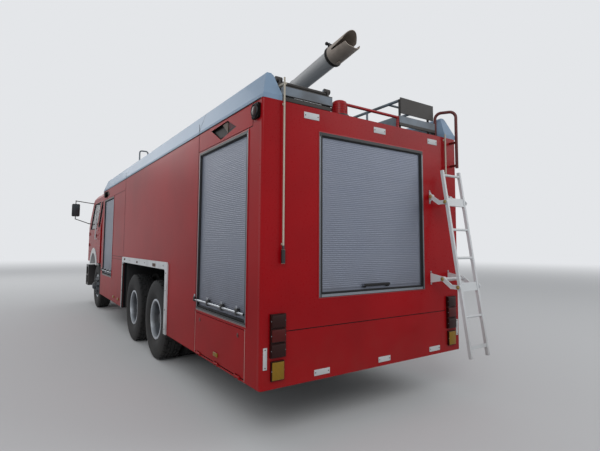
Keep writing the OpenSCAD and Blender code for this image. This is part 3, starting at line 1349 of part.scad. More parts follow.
frame_rails();
engine();
axles();
front_bumper();
tail_lamps();
clear_lamps();
lockers();
front_wall();
side_left();
side_right();
rear_wall();
roof_deck();
coamings();
roof_racks();
beacon_rail();
shutters();
shutter_frames();
arch_trims();
handrails();
pull_rods();
ladder_brackets();
monitor_riser();
monitor_head();
monitor_barrel();
monitor_deflector();
cab_shell();
cab_glass();
cab_fenders();
cab_handles();
cab_mirrors();
cab_interior();
seats();
light_bar();
door_left();
door_right();
door_glass_left();
door_glass_right();
ladder_arms_upper();
ladder_arms_lower();
ladder();
flap_left();
flap_right();
knuckle_left();
knuckle_right();
tie_rod();
tyre_front_left();
tyre_front_right();
tyres_mid_left();
tyres_mid_right();
tyres_rear_left();
tyres_rear_right();
wheel_front_left();
wheel_front_right();
wheels_mid_left();
wheels_mid_right();
wheels_rear_left();
wheels_rear_right();
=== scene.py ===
"""Airport fire truck: materials, fittings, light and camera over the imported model."""
import math
from functools import wraps

import bmesh
import bpy
from mathutils import Matrix, Vector


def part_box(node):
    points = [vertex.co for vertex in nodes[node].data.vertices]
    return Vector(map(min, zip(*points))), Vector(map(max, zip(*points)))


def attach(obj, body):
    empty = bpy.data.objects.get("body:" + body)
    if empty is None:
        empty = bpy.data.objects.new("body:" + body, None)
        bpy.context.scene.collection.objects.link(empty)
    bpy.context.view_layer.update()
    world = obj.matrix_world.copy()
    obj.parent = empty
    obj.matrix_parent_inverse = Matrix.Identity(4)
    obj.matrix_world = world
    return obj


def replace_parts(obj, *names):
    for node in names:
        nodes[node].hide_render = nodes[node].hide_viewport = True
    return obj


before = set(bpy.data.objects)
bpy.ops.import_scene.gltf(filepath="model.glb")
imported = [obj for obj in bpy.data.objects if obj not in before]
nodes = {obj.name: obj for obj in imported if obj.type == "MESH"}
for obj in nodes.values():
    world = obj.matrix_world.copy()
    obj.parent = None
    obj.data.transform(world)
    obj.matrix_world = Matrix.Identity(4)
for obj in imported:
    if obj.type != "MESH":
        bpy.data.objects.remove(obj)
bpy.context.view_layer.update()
scene = bpy.context.scene

# Places taken from the frame, in metres; a distance s is measured forwards from the rear face
rear_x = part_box("rear_wall")[0].x
half_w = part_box("rear_wall")[1].y
body_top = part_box("rear_wall")[1].z
CAB_S0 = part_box("cab_shell")[0].x - rear_x
CAB_S1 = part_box("cab_shell")[1].x - rear_x
CAB_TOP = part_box("cab_shell")[1].z
CAB_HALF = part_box("front_bumper")[1].y

UP = Vector((0, 0, 1))
LEFT = Vector((0, 1, 0))
AHEAD = Vector((1, 0, 0))
# The two sides, as on_body and on_cab take them
SIDES = (1, -1)


def at(s, y, z):
    """A point by its distance from the rear face, to the left and above the ground."""
    return Vector((rear_x + s, y, z))


def on_body(s, side, out, z):
    """A point by how far it stands out from the body's left (1) or right (-1) wall."""
    return at(s, side * (half_w + out), z)


def on_cab(s, side, out, z):
    """A point by how far it stands out from the cab's left (1) or right (-1) wall."""
    return at(s, side * (CAB_HALF + out), z)


# Shutter openings: the side bays along the body, their heights, half the rear bay and its heights
SIDE_BAYS = [(0.25, 1.42), (6.38, 7.50)]
BAY_LOW, BAY_TOP = 0.915, 2.575
REAR_BAY = 0.68
REAR_LOW, REAR_TOP = 1.140, 2.590

# The clear openings, inside the frames
EDGE = 0.024
CLEAR_BAYS = [(s0 + EDGE, s1 - EDGE) for s0, s1 in SIDE_BAYS]
CLEAR_LOW, CLEAR_TOP = BAY_LOW + EDGE, BAY_TOP - EDGE
CLEAR_REAR = REAR_BAY - EDGE
CLEAR_REAR_LOW, CLEAR_REAR_TOP = REAR_LOW + EDGE, REAR_TOP - EDGE

# The monitor's turning axis, the barrel's height there, its lift as parked, and the clamp ring's place on it
MONITOR_S = 2.30
MONITOR_Z = 3.47
LIFT = math.radians(8.5)
CLAMP_END = 1.674

# Joints of the coaming's sheets, and half their width
COAMING_JOINTS = (1.464, 5.284)
JOINT_HALF = 0.0042

# Where the side walls end behind the cab, and the front upright of the arch trim
WALL_END = 7.6
UPRIGHT_S = (5.184, 5.236)
UPRIGHT_TOP = 1.262

# Radii between which a wheel's bright rim flange begins
RIM_R = (0.236, 0.256)

# Colours
FIRE_RED = "#9c0812"
DEEP_RED = "#6f060d"
DUST = "#57483d"
TRIM_WHITE = "#cdd0d3"
# Near-black: painted shade on inner faces and on the shutter frames' rails, and the colour of dark joints
SHADE_AND_JOINT_BLACK = "#17181a"
RUBBER_BLACK = "#141517"


def linear(code):
    """A written colour such as #a01020 as the four numbers of a colour socket."""
    values = [int(code[i:i + 2], 16) / 255 for i in (1, 3, 5)]
    return tuple(v / 12.92 if v <= 0.04045 else ((v + 0.055) / 1.055) ** 2.4 for v in values) + (1.0,)


def darker(code, share):
    return tuple(v * share for v in linear(code)[:3]) + (1.0,)


class Value:
    """One output of a finish; arithmetic on it adds Math nodes."""

    def __init__(self, finish, socket):
        self.finish = finish
        self.socket = socket

    def math(self, operation, *terms):
        return self.finish.node("Math", {"operation": operation}, dict(enumerate(terms)))

    def __add__(self, other):
        return self.math("ADD", self, other)

    __radd__ = __add__

    def __sub__(self, other):
        return self.math("SUBTRACT", self, other)

    def __rsub__(self, other):
        return self.math("SUBTRACT", other, self)

    def __mul__(self, other):
        return self.math("MULTIPLY", self, other)

    __rmul__ = __mul__

    def __truediv__(self, other):
        return self.math("DIVIDE", self, other)

    def floor(self):
        return self.math("FLOOR", self)

    def fraction(self):
        return self.math("FRACT", self)

    def size(self):
        return self.math("ABSOLUTE", self)

    def most(self, other):
        return self.math("MAXIMUM", self, other)

    def least(self, other):
        return self.math("MINIMUM", self, other)

    def above(self, limit):
        return self.math("GREATER_THAN", self, limit)

    def below(self, limit):
        return self.math("LESS_THAN", self, limit)

    def root(self):
        return self.math("SQRT", self)


class Finish:
    """A material whose nodes are added one call at a time."""

    def __init__(self, name):
        self.material = bpy.data.materials.new(name)
        self.material.use_nodes = True
        self.tree = self.material.node_tree
        self.shader = self.tree.nodes["Principled BSDF"]
        self.point = self.node("TexCoord", out="Object")

    def node(self, kind, settings=None, inputs=None, out=0):
        added = self.tree.nodes.new("ShaderNode" + kind)
        for key, setting in (settings or {}).items():
            setattr(added, key, setting)
        for key, value in (inputs or {}).items():
            self.feed(added.inputs[key], value)
        return Value(self, added.outputs[out])

    def feed(self, socket, value):
        """Links a value to a socket, or sets the socket to a number, a vector or a written colour."""
        if isinstance(value, Value):
            self.tree.links.new(value.socket, socket)
        else:
            socket.default_value = linear(value) if isinstance(value, str) else value

    def set(self, **values):
        for key, value in values.items():
            self.feed(self.shader.inputs[key.replace("_", " ").title().replace("Ior", "IOR")], value)
        return self

    def noise(self, scale, detail=3.0, stretch=None):
        point = self.point
        if stretch:
            point = self.node("Mapping", inputs={"Vector": point, "Scale": stretch})
        return self.node("TexNoise", inputs={"Vector": point, "Scale": scale, "Detail": detail,
                                             "Roughness": 0.55})

    def along(self, axis):
        return self.node("SeparateXYZ", inputs={"Vector": self.point}, out=axis)

    def rising(self, value, low, high):
        """0 below low and 1 above high, smooth between them."""
        return self.node("MapRange", {"interpolation_type": "SMOOTHSTEP"},
                         {"Value": value, "From Min": low, "From Max": high})

    def patches(self, scale, detail, low, high, stretch=None):
        """Soft-edged patches where the noise lies above low."""
        return self.rising(self.noise(scale, detail, stretch), low, high)

    def mix(self, amount, first, second):
        return self.node("Mix", {"data_type": "RGBA"}, {0: amount, 6: first, 7: second}, out=2)

    def bump(self, height, strength, distance):
        return self.node("Bump", inputs={"Strength": strength, "Distance": distance, "Height": height},
                         out="Normal")

    def dust(self, top=1.15, bottom=0.42):
        """Road dust, thickest near the ground and patchy above it."""
        low = self.rising(self.along("Z"), top, bottom)
        patches = self.patches(5.0, 6.0, 0.35, 0.75)
        runs = self.patches(3.0, 3.0, 0.45, 0.8, (1, 1, 0.12))
        return (low * (0.35 + 0.65 * patches) + 0.08 * runs).least(1.0)

    def outside(self, *sides):
        """How far a point lies outside a rectangle; each side is an axis, a low and a high limit."""
        parts = [(self.along(axis) - (low + high) / 2).size() - (high - low) / 2 for axis, low, high in sides]
        return parts[0].most(parts[1])


# Finishes


def paint(name, colour, shade, dirt=0.5, rough=0.25, coat=0.2, shaded_faces_and_joints=None, shine=0.25):
    """Vehicle paint with slight orange peel, uneven fading and road dust; an optional mask paints near-black
    painted shade on inner faces and dark joints.
    """
    f = Finish(name)
    dust = f.dust()
    fade = f.patches(0.8, 4.0, 0.3, 0.75)
    colour = f.mix(fade * 0.5, colour, shade)
    colour = f.mix(dust * dirt, colour, DUST)
    swirl = f.noise(60.0, 4.0)
    gloss = coat
    # Faces under the mask take near-black: painted shade on the walls' inner faces, dark joints on the
    # coaming
    if shaded_faces_and_joints:
        mask = shaded_faces_and_joints(f)
        colour = f.mix(mask, colour, SHADE_AND_JOINT_BLACK)
        gloss = coat * (1.0 - mask)
    f.set(base_color=colour, roughness=rough + 0.4 * dust * dirt + 0.06 * swirl, specular_ior_level=shine,
          coat_weight=gloss, coat_roughness=0.06, normal=f.bump(f.noise(260.0, 2.0), 0.06, 0.001))
    return f.material


def slats():
    """Anodised slats: fine lines along each slat, and slats that differ a little in tone."""
    f = Finish("shutter_slats")
    slat = (f.along("Z") / 0.036).floor()
    tone = f.node("TexWhiteNoise", {"noise_dimensions": "1D"}, {"W": slat})
    lines = f.noise(1.0, 3.0, (3, 3, 900))
    stain = f.patches(2.2, 6.0, 0.35, 0.8, (1, 1, 0.4))
    dust = f.dust(1.5, 0.8)
    colour = f.mix(0.25 * tone + 0.35 * stain, "#787e8b", "#6f7686")
    colour = f.mix(dust * 0.35, colour, DUST)
    f.set(base_color=colour, metallic=0.55, roughness=0.38 + 0.1 * lines + 0.2 * dust,
          normal=f.bump(lines, 0.12, 0.0006))
    return f.material


def shutter_frame():
    """Drawn alloy inside the opening; the lip on the wall is painted, with a dark joint between the two. The
    sill, the lintel and most of each upright take near-black as painted shade, and a pale line on the lip
    under each side bay is a painted highlight.
    """
    f = Finish("frame_alloy")
    bays = [f.outside(("X", rear_x + s0, rear_x + s1), ("Z", BAY_LOW, BAY_TOP)) for s0, s1 in SIDE_BAYS]
    out = f.outside(("Y", -REAR_BAY, REAR_BAY), ("Z", REAR_LOW, REAR_TOP)).least(bays[0]).least(bays[1])
    joint = out.above(-0.002)
    lip = out.above(0.003)
    patches = f.noise(6.0, 5.0)
    colour = f.mix(0.4 * patches, "#8f959c", "#70767d")
    y, z = f.along("Y").size(), f.along("Z")
    # Sill, lintel and the inner part of each upright: painted shade on the frame's rails
    sill_shade = z.below(CLEAR_LOW + 0.002) * z.above(BAY_LOW + 0.006)
    lintel_shade = z.above(CLEAR_TOP + 0.002)
    depth = REAR_BAY - y
    upright = depth.above(0.010) * depth.below(0.026) * f.along("X").below(rear_x + 0.05)
    upright = upright.most(y.above(1.0) * out.below(-0.010))
    # From here the joint mask also holds the painted shade of the rails, all in near-black
    joint = joint.most(sill_shade).most(lintel_shade).most(upright)
    colour = f.mix(lip, f.mix(joint, colour, SHADE_AND_JOINT_BLACK), FIRE_RED)
    # A pale line on the lip under each side bay: painted highlight on the edge
    wear_and_highlight = lip * out.below(0.010) * z.below(BAY_LOW)
    colour = f.mix(wear_and_highlight, colour, "#8f6f6b")
    f.set(base_color=colour, metallic=0.8 * (1.0 - joint), roughness=0.36 + 0.12 * patches,
          normal=f.bump(f.noise(1.0, 3.0, (2, 2, 300)), 0.1, 0.0005))
    return f.material


def wheel_steel():
    """Silver wheel paint: a bright rim flange, a duller dished disc in dark grey that is painted shade in the
    dish, and dust in the middle.
    """
    f = Finish("wheel_grey")
    x, z = f.along("X"), f.along("Z")
    reach = None
    for name in ("tyre_front_left", "tyres_mid_left", "tyres_rear_left"):
        centre = sum(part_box(name), Vector()) / 2
        run = ((x - centre.x) * (x - centre.x) + (z - centre.z) * (z - centre.z)).root()
        reach = run if reach is None else reach.least(run)
    rim = f.rising(reach, *RIM_R)
    dust = f.patches(7.0, 5.0, 0.35, 0.7)
    # The disc's dark grey is painted shade inside the dish; the flange keeps the silver
    colour = f.mix(rim, "#4a4f55", "#c6ccd3")
    colour = f.mix(dust * (0.45 - 0.3 * rim), colour, "#3d3834")
    f.set(base_color=colour, metallic=0.35 + 0.3 * rim, roughness=0.46 - 0.1 * rim + 0.15 * dust,
          normal=f.bump(f.noise(150.0, 3.0), 0.12, 0.0008))
    return f.material


def rack_paint():
    """Grey panels at the rear with dark rims, ears and frames; plain grey rails along the roof."""
    f = Finish("rack_grey")
    z = f.along("Z")
    near = f.along("X").below(rear_x + 0.135)
    face = z.above(2.890) * z.below(2.966)
    stain = f.patches(4.0, 5.0, 0.35, 0.75)
    colour = f.mix(near * (1.0 - face), "#6c7680", "#292624")
    colour = f.mix(stain * 0.5, colour, "#4f4b48")
    f.set(base_color=colour, metallic=0.3, roughness=0.5 + 0.15 * stain,
          normal=f.bump(f.noise(120.0, 4.0), 0.2, 0.0008))
    return f.material


def deflector_paint():
    """Weathered grey-brown casting with a black clamp ring."""
    f = Finish("deflector_grey")
    axis = rear_x + MONITOR_S
    run = (axis - f.along("X")) * math.cos(LIFT) + (f.along("Z") - MONITOR_Z) * math.sin(LIFT)
    colour = f.mix(f.patches(5.0, 6.0, 0.3, 0.7), "#9a8f85", "#7c7268")
    colour = f.mix(run.below(CLAMP_END), colour, "#1d1b1a")
    f.set(base_color=colour, metallic=0.15, roughness=0.55, normal=f.bump(f.noise(160.0, 4.0), 0.25, 0.001))
    return f.material


def trim_paint():
    """White arch trim with a dark rubber edge on the front upright and rust stains round its fixings."""
    f = Finish("trim_white")
    x, z = f.along("X"), f.along("Z")
    rubber = x.above(rear_x + UPRIGHT_S[0]) * x.below(rear_x + UPRIGHT_S[1]) * z.below(UPRIGHT_TOP)
    dust = f.dust(1.1)
    wear = f.patches(26.0, 5.0, 0.66, 0.72) * z.above(1.25)
    colour = f.mix(f.patches(3.0, 5.0, 0.3, 0.7), TRIM_WHITE, "#b3b7bb")
    colour = f.mix(dust * 0.4, colour, DUST)
    colour = f.mix((wear * 0.8).most(rubber), colour, "#1f1d1e")
    f.set(base_color=colour, roughness=0.34 + 0.2 * dust, specular_ior_level=0.3,
          coat_weight=0.2 * (1.0 - rubber), coat_roughness=0.08,
          normal=f.bump(f.noise(200.0, 3.0), 0.08, 0.0008))
    return f.material


def alloy(name, colour, rough, stretch, metal=0.9):
    """Bare or anodised alloy with drawn lines and dull patches."""
    f = Finish(name)
    lines = f.noise(1.0, 3.0, stretch)
    patches = f.noise(6.0, 5.0)
    colour = f.mix(0.4 * patches, colour, darker(colour, 0.72))
    f.set(base_color=colour, metallic=metal, roughness=rough + 0.12 * patches + 0.08 * lines,
          normal=f.bump(lines, 0.1, 0.0005))
    return f.material


def dull_paint(name, colour, shade, rough=0.5, metal=0.0, grain=120.0, dirt=0.4, top=1.3, shine=0.5):
    """Satin paint or unpainted casting with fine grain and dust."""
    f = Finish(name)
    dust = f.dust(top, 0.3)
    colour = f.mix(f.patches(3.0, 6.0, 0.3, 0.7), colour, shade)
    colour = f.mix(dust * dirt, colour, DUST)
    f.set(base_color=colour, metallic=metal, roughness=rough + 0.2 * dust, specular_ior_level=shine,
          normal=f.bump(f.noise(grain, 4.0), 0.25, 0.001))
    return f.material


def rubber(name, dirt=0.5):
    f = Finish(name)
    dust = f.dust(1.1, 0.1)
    grain = f.noise(400.0, 3.0)
    colour = f.mix(dust * dirt, RUBBER_BLACK, "#37332f")
    f.set(base_color=colour, roughness=0.75 + 0.15 * grain, normal=f.bump(grain, 0.2, 0.0008))
    return f.material


def tread_plate():
    """Roof deck with a raised pattern of crossed bars."""
    f = Finish("deck_plate")
    x, y = f.along("X"), f.along("Y")
    first, second = [f.rising(((across * 14.0).fraction() - 0.5).size(), 0.36, 0.42)
                     for across in (x + y, x - y)]
    dirt = f.patches(1.5, 6.0, 0.35, 0.7)
    colour = f.mix(dirt * 0.6, "#8b9299", "#666459")
    f.set(base_color=colour, metallic=0.6, roughness=0.45 + 0.25 * dirt,
          normal=f.bump(first.most(second), 0.5, 0.002))
    return f.material


def glass(name, colour):
    f = Finish(name)
    dirt = f.patches(7.0, 6.0, 0.4, 0.9)
    f.set(base_color=f.mix(dirt * 0.3, colour, "#6f716d"), roughness=0.03 + 0.15 * dirt,
          alpha=0.5 + 0.2 * dirt, coat_weight=0.3, coat_roughness=0.02)
    return f.material


def lens(name, colour, ribs=110.0, axis="Z", shine=0.2):
    """Moulded lamp lens with fine flutes on its inside, dulled by wear on its face."""
    f = Finish(name)
    flute = ((f.along(axis) * ribs).fraction() - 0.5).size()
    f.set(base_color=f.mix(f.rising(flute, 0.1, 0.45), colour, darker(colour, 0.6)),
          roughness=0.3 + 0.1 * f.noise(30.0), specular_ior_level=shine,
          coat_weight=shine * 0.5, coat_roughness=0.05, normal=f.bump(flute, 0.3, 0.001))
    return f.material


def leatherette():
    f = Finish("seat_cover")
    cells = f.node("TexVoronoi", inputs={"Vector": f.point, "Scale": 260.0})
    wear_and_highlight = f.patches(4.0, 5.0, 0.4, 0.75)
    f.set(base_color=f.mix(wear_and_highlight * 0.5, "#2b2d31", "#3f4247"), roughness=0.55 + 0.15 * wear_and_highlight,
          normal=f.bump(cells, 0.3, 0.0006))
    return f.material


def side_shade_mask(f):
    """1 on the faces of a side wall that lie inside the body, as in the wheel arch and shutter recess; the
    paint puts painted shade there.
    """
    return f.along("Y").size().below(half_w - 0.002) * f.along("X").below(rear_x + WALL_END)


def rear_shade_mask(f):
    """1 on the faces of the rear wall that lie behind its skin; the paint puts painted shade there."""
    return f.along("X").above(rear_x + 0.003) * f.along("Y").size().below(half_w - 0.0125)


def coaming_seams(f):
    """1 in the joints of the coaming's sheets."""
    x = f.along("X") - rear_x
    first, second = [(x - joint).size().below(JOINT_HALF) for joint in COAMING_JOINTS]
    return first.most(second)


fire_red = paint("fire_red", FIRE_RED, DEEP_RED)
# The side and rear walls take painted shade on their inner faces
side_red = paint("side_red", FIRE_RED, DEEP_RED, dirt=0.16, rough=0.34, coat=0.04, shaded_faces_and_joints=side_shade_mask,
                 shine=0.08)
flap_red = paint("flap_red", FIRE_RED, DEEP_RED, dirt=0.16, rough=0.34, coat=0.04, shine=0.08)
rear_red = paint("rear_red", FIRE_RED, DEEP_RED, dirt=0.16, coat=0.06, shaded_faces_and_joints=rear_shade_mask, shine=0.12)
# Pale pinkish red for the painted highlight along the wall's edges beside the step flaps
edge_highlight_red = paint("edge_highlight_red", "#b98f8a", "#9a706b", dirt=0.1, rough=0.5, coat=0.0)
cab_red = paint("cab_red", FIRE_RED, DEEP_RED, dirt=0.2, rough=0.34, coat=0.05, shine=0.1)
coaming_blue = paint("coaming_blue", "#8198b0", "#6c839b", dirt=0.3, rough=0.45, coat=0.05,
                     shaded_faces_and_joints=coaming_seams)
trim_white = trim_paint()
fender_white = paint("fender_white", "#c3c5c6", "#a9abab", dirt=0.45, rough=0.3, coat=0.1)
tube_white = paint("tube_white", "#cdd0d2", "#adb0b1", dirt=0.35, rough=0.35)
rod_pale = paint("rod_pale", "#b9b2a3", "#8f8676", dirt=0.3, rough=0.4)
rail_maroon = paint("rail_maroon", "#5a1512", "#3a0d0a", dirt=0.3, rough=0.35)
plate_white = paint("plate_white", "#c6c9cb", "#a9abac", dirt=0.25, rough=0.4, coat=0.1)

beacon_red = lens("beacon_red", "#9c0a12", ribs=45.0)
red_lens = lens("red_lens", "#4f0c09")
smoked_lens = lens("smoked_lens", "#2b0b08")
amber_lens = lens("amber_lens", "#8c6c1a")
lamp_lens = lens("lamp_lens", "#7d858c", ribs=60.0)
pocket_dark = lens("pocket_dark", "#181413", ribs=60.0, shine=0.02)
pocket_red = lens("pocket_red", "#55222a", ribs=60.0, shine=0.03)
blue_lens = lens("blue_lens", "#16308a", ribs=30.0, axis="Y")
window_glass = glass("window_glass", "#1d262b")
mirror_glass = alloy("mirror_glass", "#4a5053", rough=0.05, metal=0.8, stretch=(1, 1, 1))

shutter_slats = slats()
frame_alloy = shutter_frame()
barrel_alloy = alloy("barrel_alloy", "#a3a4a5", rough=0.42, metal=0.25, stretch=(4, 4, 4))
riser_alloy = alloy("riser_alloy", "#83888e", rough=0.4, stretch=(40, 40, 2))
bright_metal = alloy("bright_metal", "#a9adb2", rough=0.28, metal=1.0, stretch=(60, 60, 60))
brass = alloy("brass", "#b39a5c", rough=0.4, metal=0.8, stretch=(80, 80, 80))
wheel_grey = wheel_steel()
deck_plate = tread_plate()

deflector_grey = deflector_paint()
rack_grey = rack_paint()
head_grey = dull_paint("head_grey", "#3b4046", "#2d3136", dirt=0.2, top=0.5)
frame_black = dull_paint("frame_black", "#1c1e20", "#2a2b2c", dirt=0.5)
axle_iron = dull_paint("axle_iron", "#2c2e31", "#3b3733", rough=0.6, metal=0.3, grain=60.0, dirt=0.6)
engine_iron = dull_paint("engine_iron", "#45484c", "#3a3633", rough=0.6, metal=0.3, grain=50.0)
bumper_black = dull_paint("bumper_black", "#212326", "#2b2d30", rough=0.42)
locker_grey = dull_paint("locker_grey", "#1f2123", "#292a2c", rough=0.6)
black_plastic = dull_paint("black_plastic", "#17181a", "#202124", rough=0.45, grain=300.0, dirt=0.25)
trim_grey = dull_paint("trim_grey", "#34363a", "#2a2c2f", rough=0.6, grain=350.0, dirt=0.0)
rust_pale = dull_paint("rust_pale", "#786e66", "#5c5048", grain=200.0, dirt=0.0, shine=0.06)
rust_dark = dull_paint("rust_dark", "#3a2a24", "#5a4234", rough=0.7, metal=0.3, grain=200.0)

tyre_rubber = rubber("tyre_rubber")
seal_rubber = rubber("seal_rubber", dirt=0.15)
seat_cover = leatherette()

# Each finish with the CAD nodes that take it; the tyres and wheels follow below
CAD_FINISHES = [
    (frame_black, "frame_rails"), (engine_iron, "engine"), (bumper_black, "front_bumper"),
    (axle_iron, "axles knuckle_left knuckle_right tie_rod"), (locker_grey, "lockers"),
    (fire_red, "front_wall"), (side_red, "side_left side_right"), (rear_red, "rear_wall"),
    (flap_red, "flap_left flap_right"), (cab_red, "cab_shell door_left door_right"),
    (deck_plate, "roof_deck"), (coaming_blue, "coamings"), (rack_grey, "roof_racks"),
    (beacon_red, "beacon_rail"), (shutter_slats, "shutters"), (frame_alloy, "shutter_frames"),
    (trim_white, "arch_trims"), (fender_white, "cab_fenders"), (rail_maroon, "handrails"),
    (rod_pale, "pull_rods"), (riser_alloy, "monitor_riser"), (head_grey, "monitor_head"),
    (barrel_alloy, "monitor_barrel"), (deflector_grey, "monitor_deflector"),
    (tube_white, "ladder_brackets ladder_arms_upper ladder_arms_lower ladder cab_handles"),
    (window_glass, "cab_glass door_glass_left door_glass_right"), (black_plastic, "cab_mirrors"),
    (trim_grey, "cab_interior"), (seat_cover, "seats"), (blue_lens, "light_bar"),
    (smoked_lens, "tail_lamps"), (pocket_dark, "clear_lamps")]
cad_finish = {name: finish for finish, names in CAD_FINISHES for name in names.split()}

for name, node in nodes.items():
    finish = cad_finish.get(name, tyre_rubber if name.startswith("tyre") else wheel_grey)
    if not node.material_slots:
        node.data.materials.append(finish)
    for slot in node.material_slots:
        slot.material = finish


# Shapes


def rounding(bm, geom, offset, segments, affect="EDGES"):
    bmesh.ops.bevel(bm, geom=geom, offset=offset, segments=segments, profile=0.5, affect=affect, material=-1)


def block(bm, corner, opposite, bevel, segments=2):
    """A box between two opposite corners, with rounded edges."""
    low, high = [Vector([pick(pair) for pair in zip(corner, opposite)]) for pick in (min, max)]
    verts = bmesh.ops.create_cube(bm, size=1.0)["verts"]
    bmesh.ops.scale(bm, vec=high - low, verts=verts)
    bmesh.ops.translate(bm, vec=(low + high) / 2, verts=verts)
    if bevel:
        rounding(bm, list({edge for vert in verts for edge in vert.link_edges}), bevel, segments)


def rod(bm, start, end, radius, sides, end_radius=None):
    turn = UP.rotation_difference(end - start).to_matrix().to_4x4()
    bmesh.ops.create_cone(bm, cap_ends=True, segments=sides, radius1=radius,
                          radius2=radius if end_radius is None else end_radius,
                          depth=(end - start).length, matrix=Matrix.Translation((start + end) / 2) @ turn)


def ball(bm, centre, radius, sides, rings):
    bmesh.ops.create_uvsphere(bm, u_segments=sides, v_segments=rings, radius=radius,
                              matrix=Matrix.Translation(centre))


def tube(bm, points, radius, sides=12):
    """A round bar along points, with a ball at each bend."""
    for start, end in zip(points, points[1:]):
        rod(bm, start, end, radius, sides)
    for bend in points[1:-1]:
        ball(bm, bend, radius, sides, 8)


def lathe(bm, section, centre, axis, steps):
    """Spins a section, given as (radius, distance along the axis), into a body of revolution."""
    axis = axis.normalized()
    out = axis.orthogonal().normalized()
    verts = [bm.verts.new(centre + out * r + axis * h) for r, h in section]
    edges = [bm.edges.new(pair) for pair in zip(verts, verts[1:])]
    bmesh.ops.spin(bm, geom=verts + edges, cent=centre, axis=axis, angle=2 * math.pi, steps=steps,
                   use_merge=True)


def dome(bm, centre, axis, radius, height, steps):
    """A low lens or cap: flat foot, short rim and a crowned face."""
    angles = [math.pi / 2 * i / 6 for i in range(6)]
    crown = [(radius * math.cos(a), height * (0.12 + 0.88 * math.sin(a))) for a in angles]
    lathe(bm, [(0.0, 0.0), (radius, 0.0)] + crown + [(0.0, height)], centre, axis, steps)


def bezel(bm, centre, axis, inner, outer, rise):
    """A ring round a lamp, crowned at its inner edge."""
    crown = [(outer, rise), (inner + 0.003, rise + 0.003), (inner, rise)]
    lathe(bm, [(inner, 0.0), (outer, 0.0)] + crown + [(inner, 0.0)], centre, axis, 40)


def bolt(bm, place, axis, head, height):
    """A hexagon head on its washer."""
    axis = axis.normalized()
    rod(bm, place, place + axis * height, head, 6)
    rod(bm, place, place + axis * height * 0.35, head * 1.35, 12)


def bolt_ring(bm, centre, axis, radius, count, head, height, phase=0.0):
    out = axis.orthogonal().normalized()
    for i in range(count):
        turn = Matrix.Rotation(phase + 2 * math.pi * i / count, 3, axis)
        bolt(bm, centre + turn @ out * radius, axis, head, height)


def plate(bm, corners, through, corner_radius=0.0):
    """A flat piece with the given outline, as thick as the vector through."""
    before = set(bm.faces)
    face = bm.faces.new([bm.verts.new(c) for c in corners])
    if corner_radius:
        rounding(bm, list(face.verts), corner_radius, 5, "VERTICES")
    faces = [f for f in bm.faces if f not in before]
    solid = bmesh.ops.extrude_face_region(bm, geom=faces, use_keep_orig=True)["geom"]
    bmesh.ops.translate(bm, vec=through, verts=[g for g in solid if isinstance(g, bmesh.types.BMVert)])


def rectangle(a0, a1, b0, b1):
    return [(a0, b0), (a1, b0), (a1, b1), (a0, b1)]


def corner_ways(corners):
    """Each corner with its directions to the corners before and after it."""
    for i, q in enumerate(corners):
        yield q, (corners[i - 1] - q).normalized(), (corners[(i + 1) % len(corners)] - q).normalized()


def rounded(corners, radius):
    """The outline with a curve of seven points in place of each corner."""
    return [q + back * radius * (1 - k / 6) ** 2 + ahead * radius * (k / 6) ** 2
            for q, back, ahead in corner_ways(corners) for k in range(7)]


def frame_strip(bm, corners, through, width, corner_radius):
    """A flat ring inside the given outline, as thick as the vector through, with rounded shoulders."""
    within = [q + (back + ahead) * width / back.cross(ahead).length
              for q, back, ahead in corner_ways(corners)]
    outer = rounded(corners, corner_radius)
    inner = rounded(within, max(corner_radius - width, 0.006))
    foot, shoulder = through * 0, through * 0.78
    # Each ring of points by its share of the way from the inner to the outer outline, and its height
    rings = [(1, foot), (0, foot), (0, shoulder), (0.25, through), (0.8, through), (1, shoulder)]
    loops = [[bm.verts.new(a.lerp(b, share) + rise) for a, b in zip(inner, outer)] for share, rise in rings]
    for near, far in zip(loops, loops[1:] + loops[:1]):
        for i in range(len(outer)):
            bm.faces.new((near[i - 1], near[i], far[i], far[i - 1]))


# Pieces: a function that adds a shape to an empty mesh makes a piece with a finish that rides on a body


def placed(name, data):
    """A new object in the scene."""
    obj = bpy.data.objects.new(name, data)
    scene.collection.objects.link(obj)
    return obj


def made(name, material, body, build, smooth=35.0):
    bm = bmesh.new()
    build(bm)
    bmesh.ops.recalc_face_normals(bm, faces=bm.faces)
    mesh = bpy.data.meshes.new(name)
    bm.to_mesh(mesh)
    bm.free()
    obj = placed(name, mesh)
    mesh.materials.append(material)
    mesh.shade_smooth()
    mesh.set_sharp_from_angle(angle=math.radians(smooth))
    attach(obj, body)
    return obj


def fitting(material, body, smooth=35.0):
    """Makes a piece of the function below it, under that function's name."""
    def make(build):
        made(build.__name__, material, body, build, smooth)
        return build
    return make


def both(build):
    """Calls build for the left side (1) and the right side (-1) of one piece."""
    @wraps(build)
    def pair(bm):
        for side in SIDES:
            build(bm, side)
    return pair


def each(material, body):
    """Makes a left and a right piece of the function below it, each on the body of its own side."""
    def make(build):
        for side, word in zip(SIDES, ("left", "right")):
            made("%s_%s" % (build.__name__, word), material, body + word, lambda bm: build(bm, side))
        return build
    return make


# Tyres: carcass and tread are one turned section, with the tread blocks raised from it

TYRE_WIDTH = 0.293
BEAD_R = 0.2624
TREAD_DEPTH = 0.013
STEPS = 150
RIBS = [(-0.116, -0.079), (-0.069, -0.029), (-0.021, 0.021), (0.029, 0.069), (0.079, 0.116)]
# The step in every five that has no block, for each rib
GAPS = [0, 2, None, 0, 3]


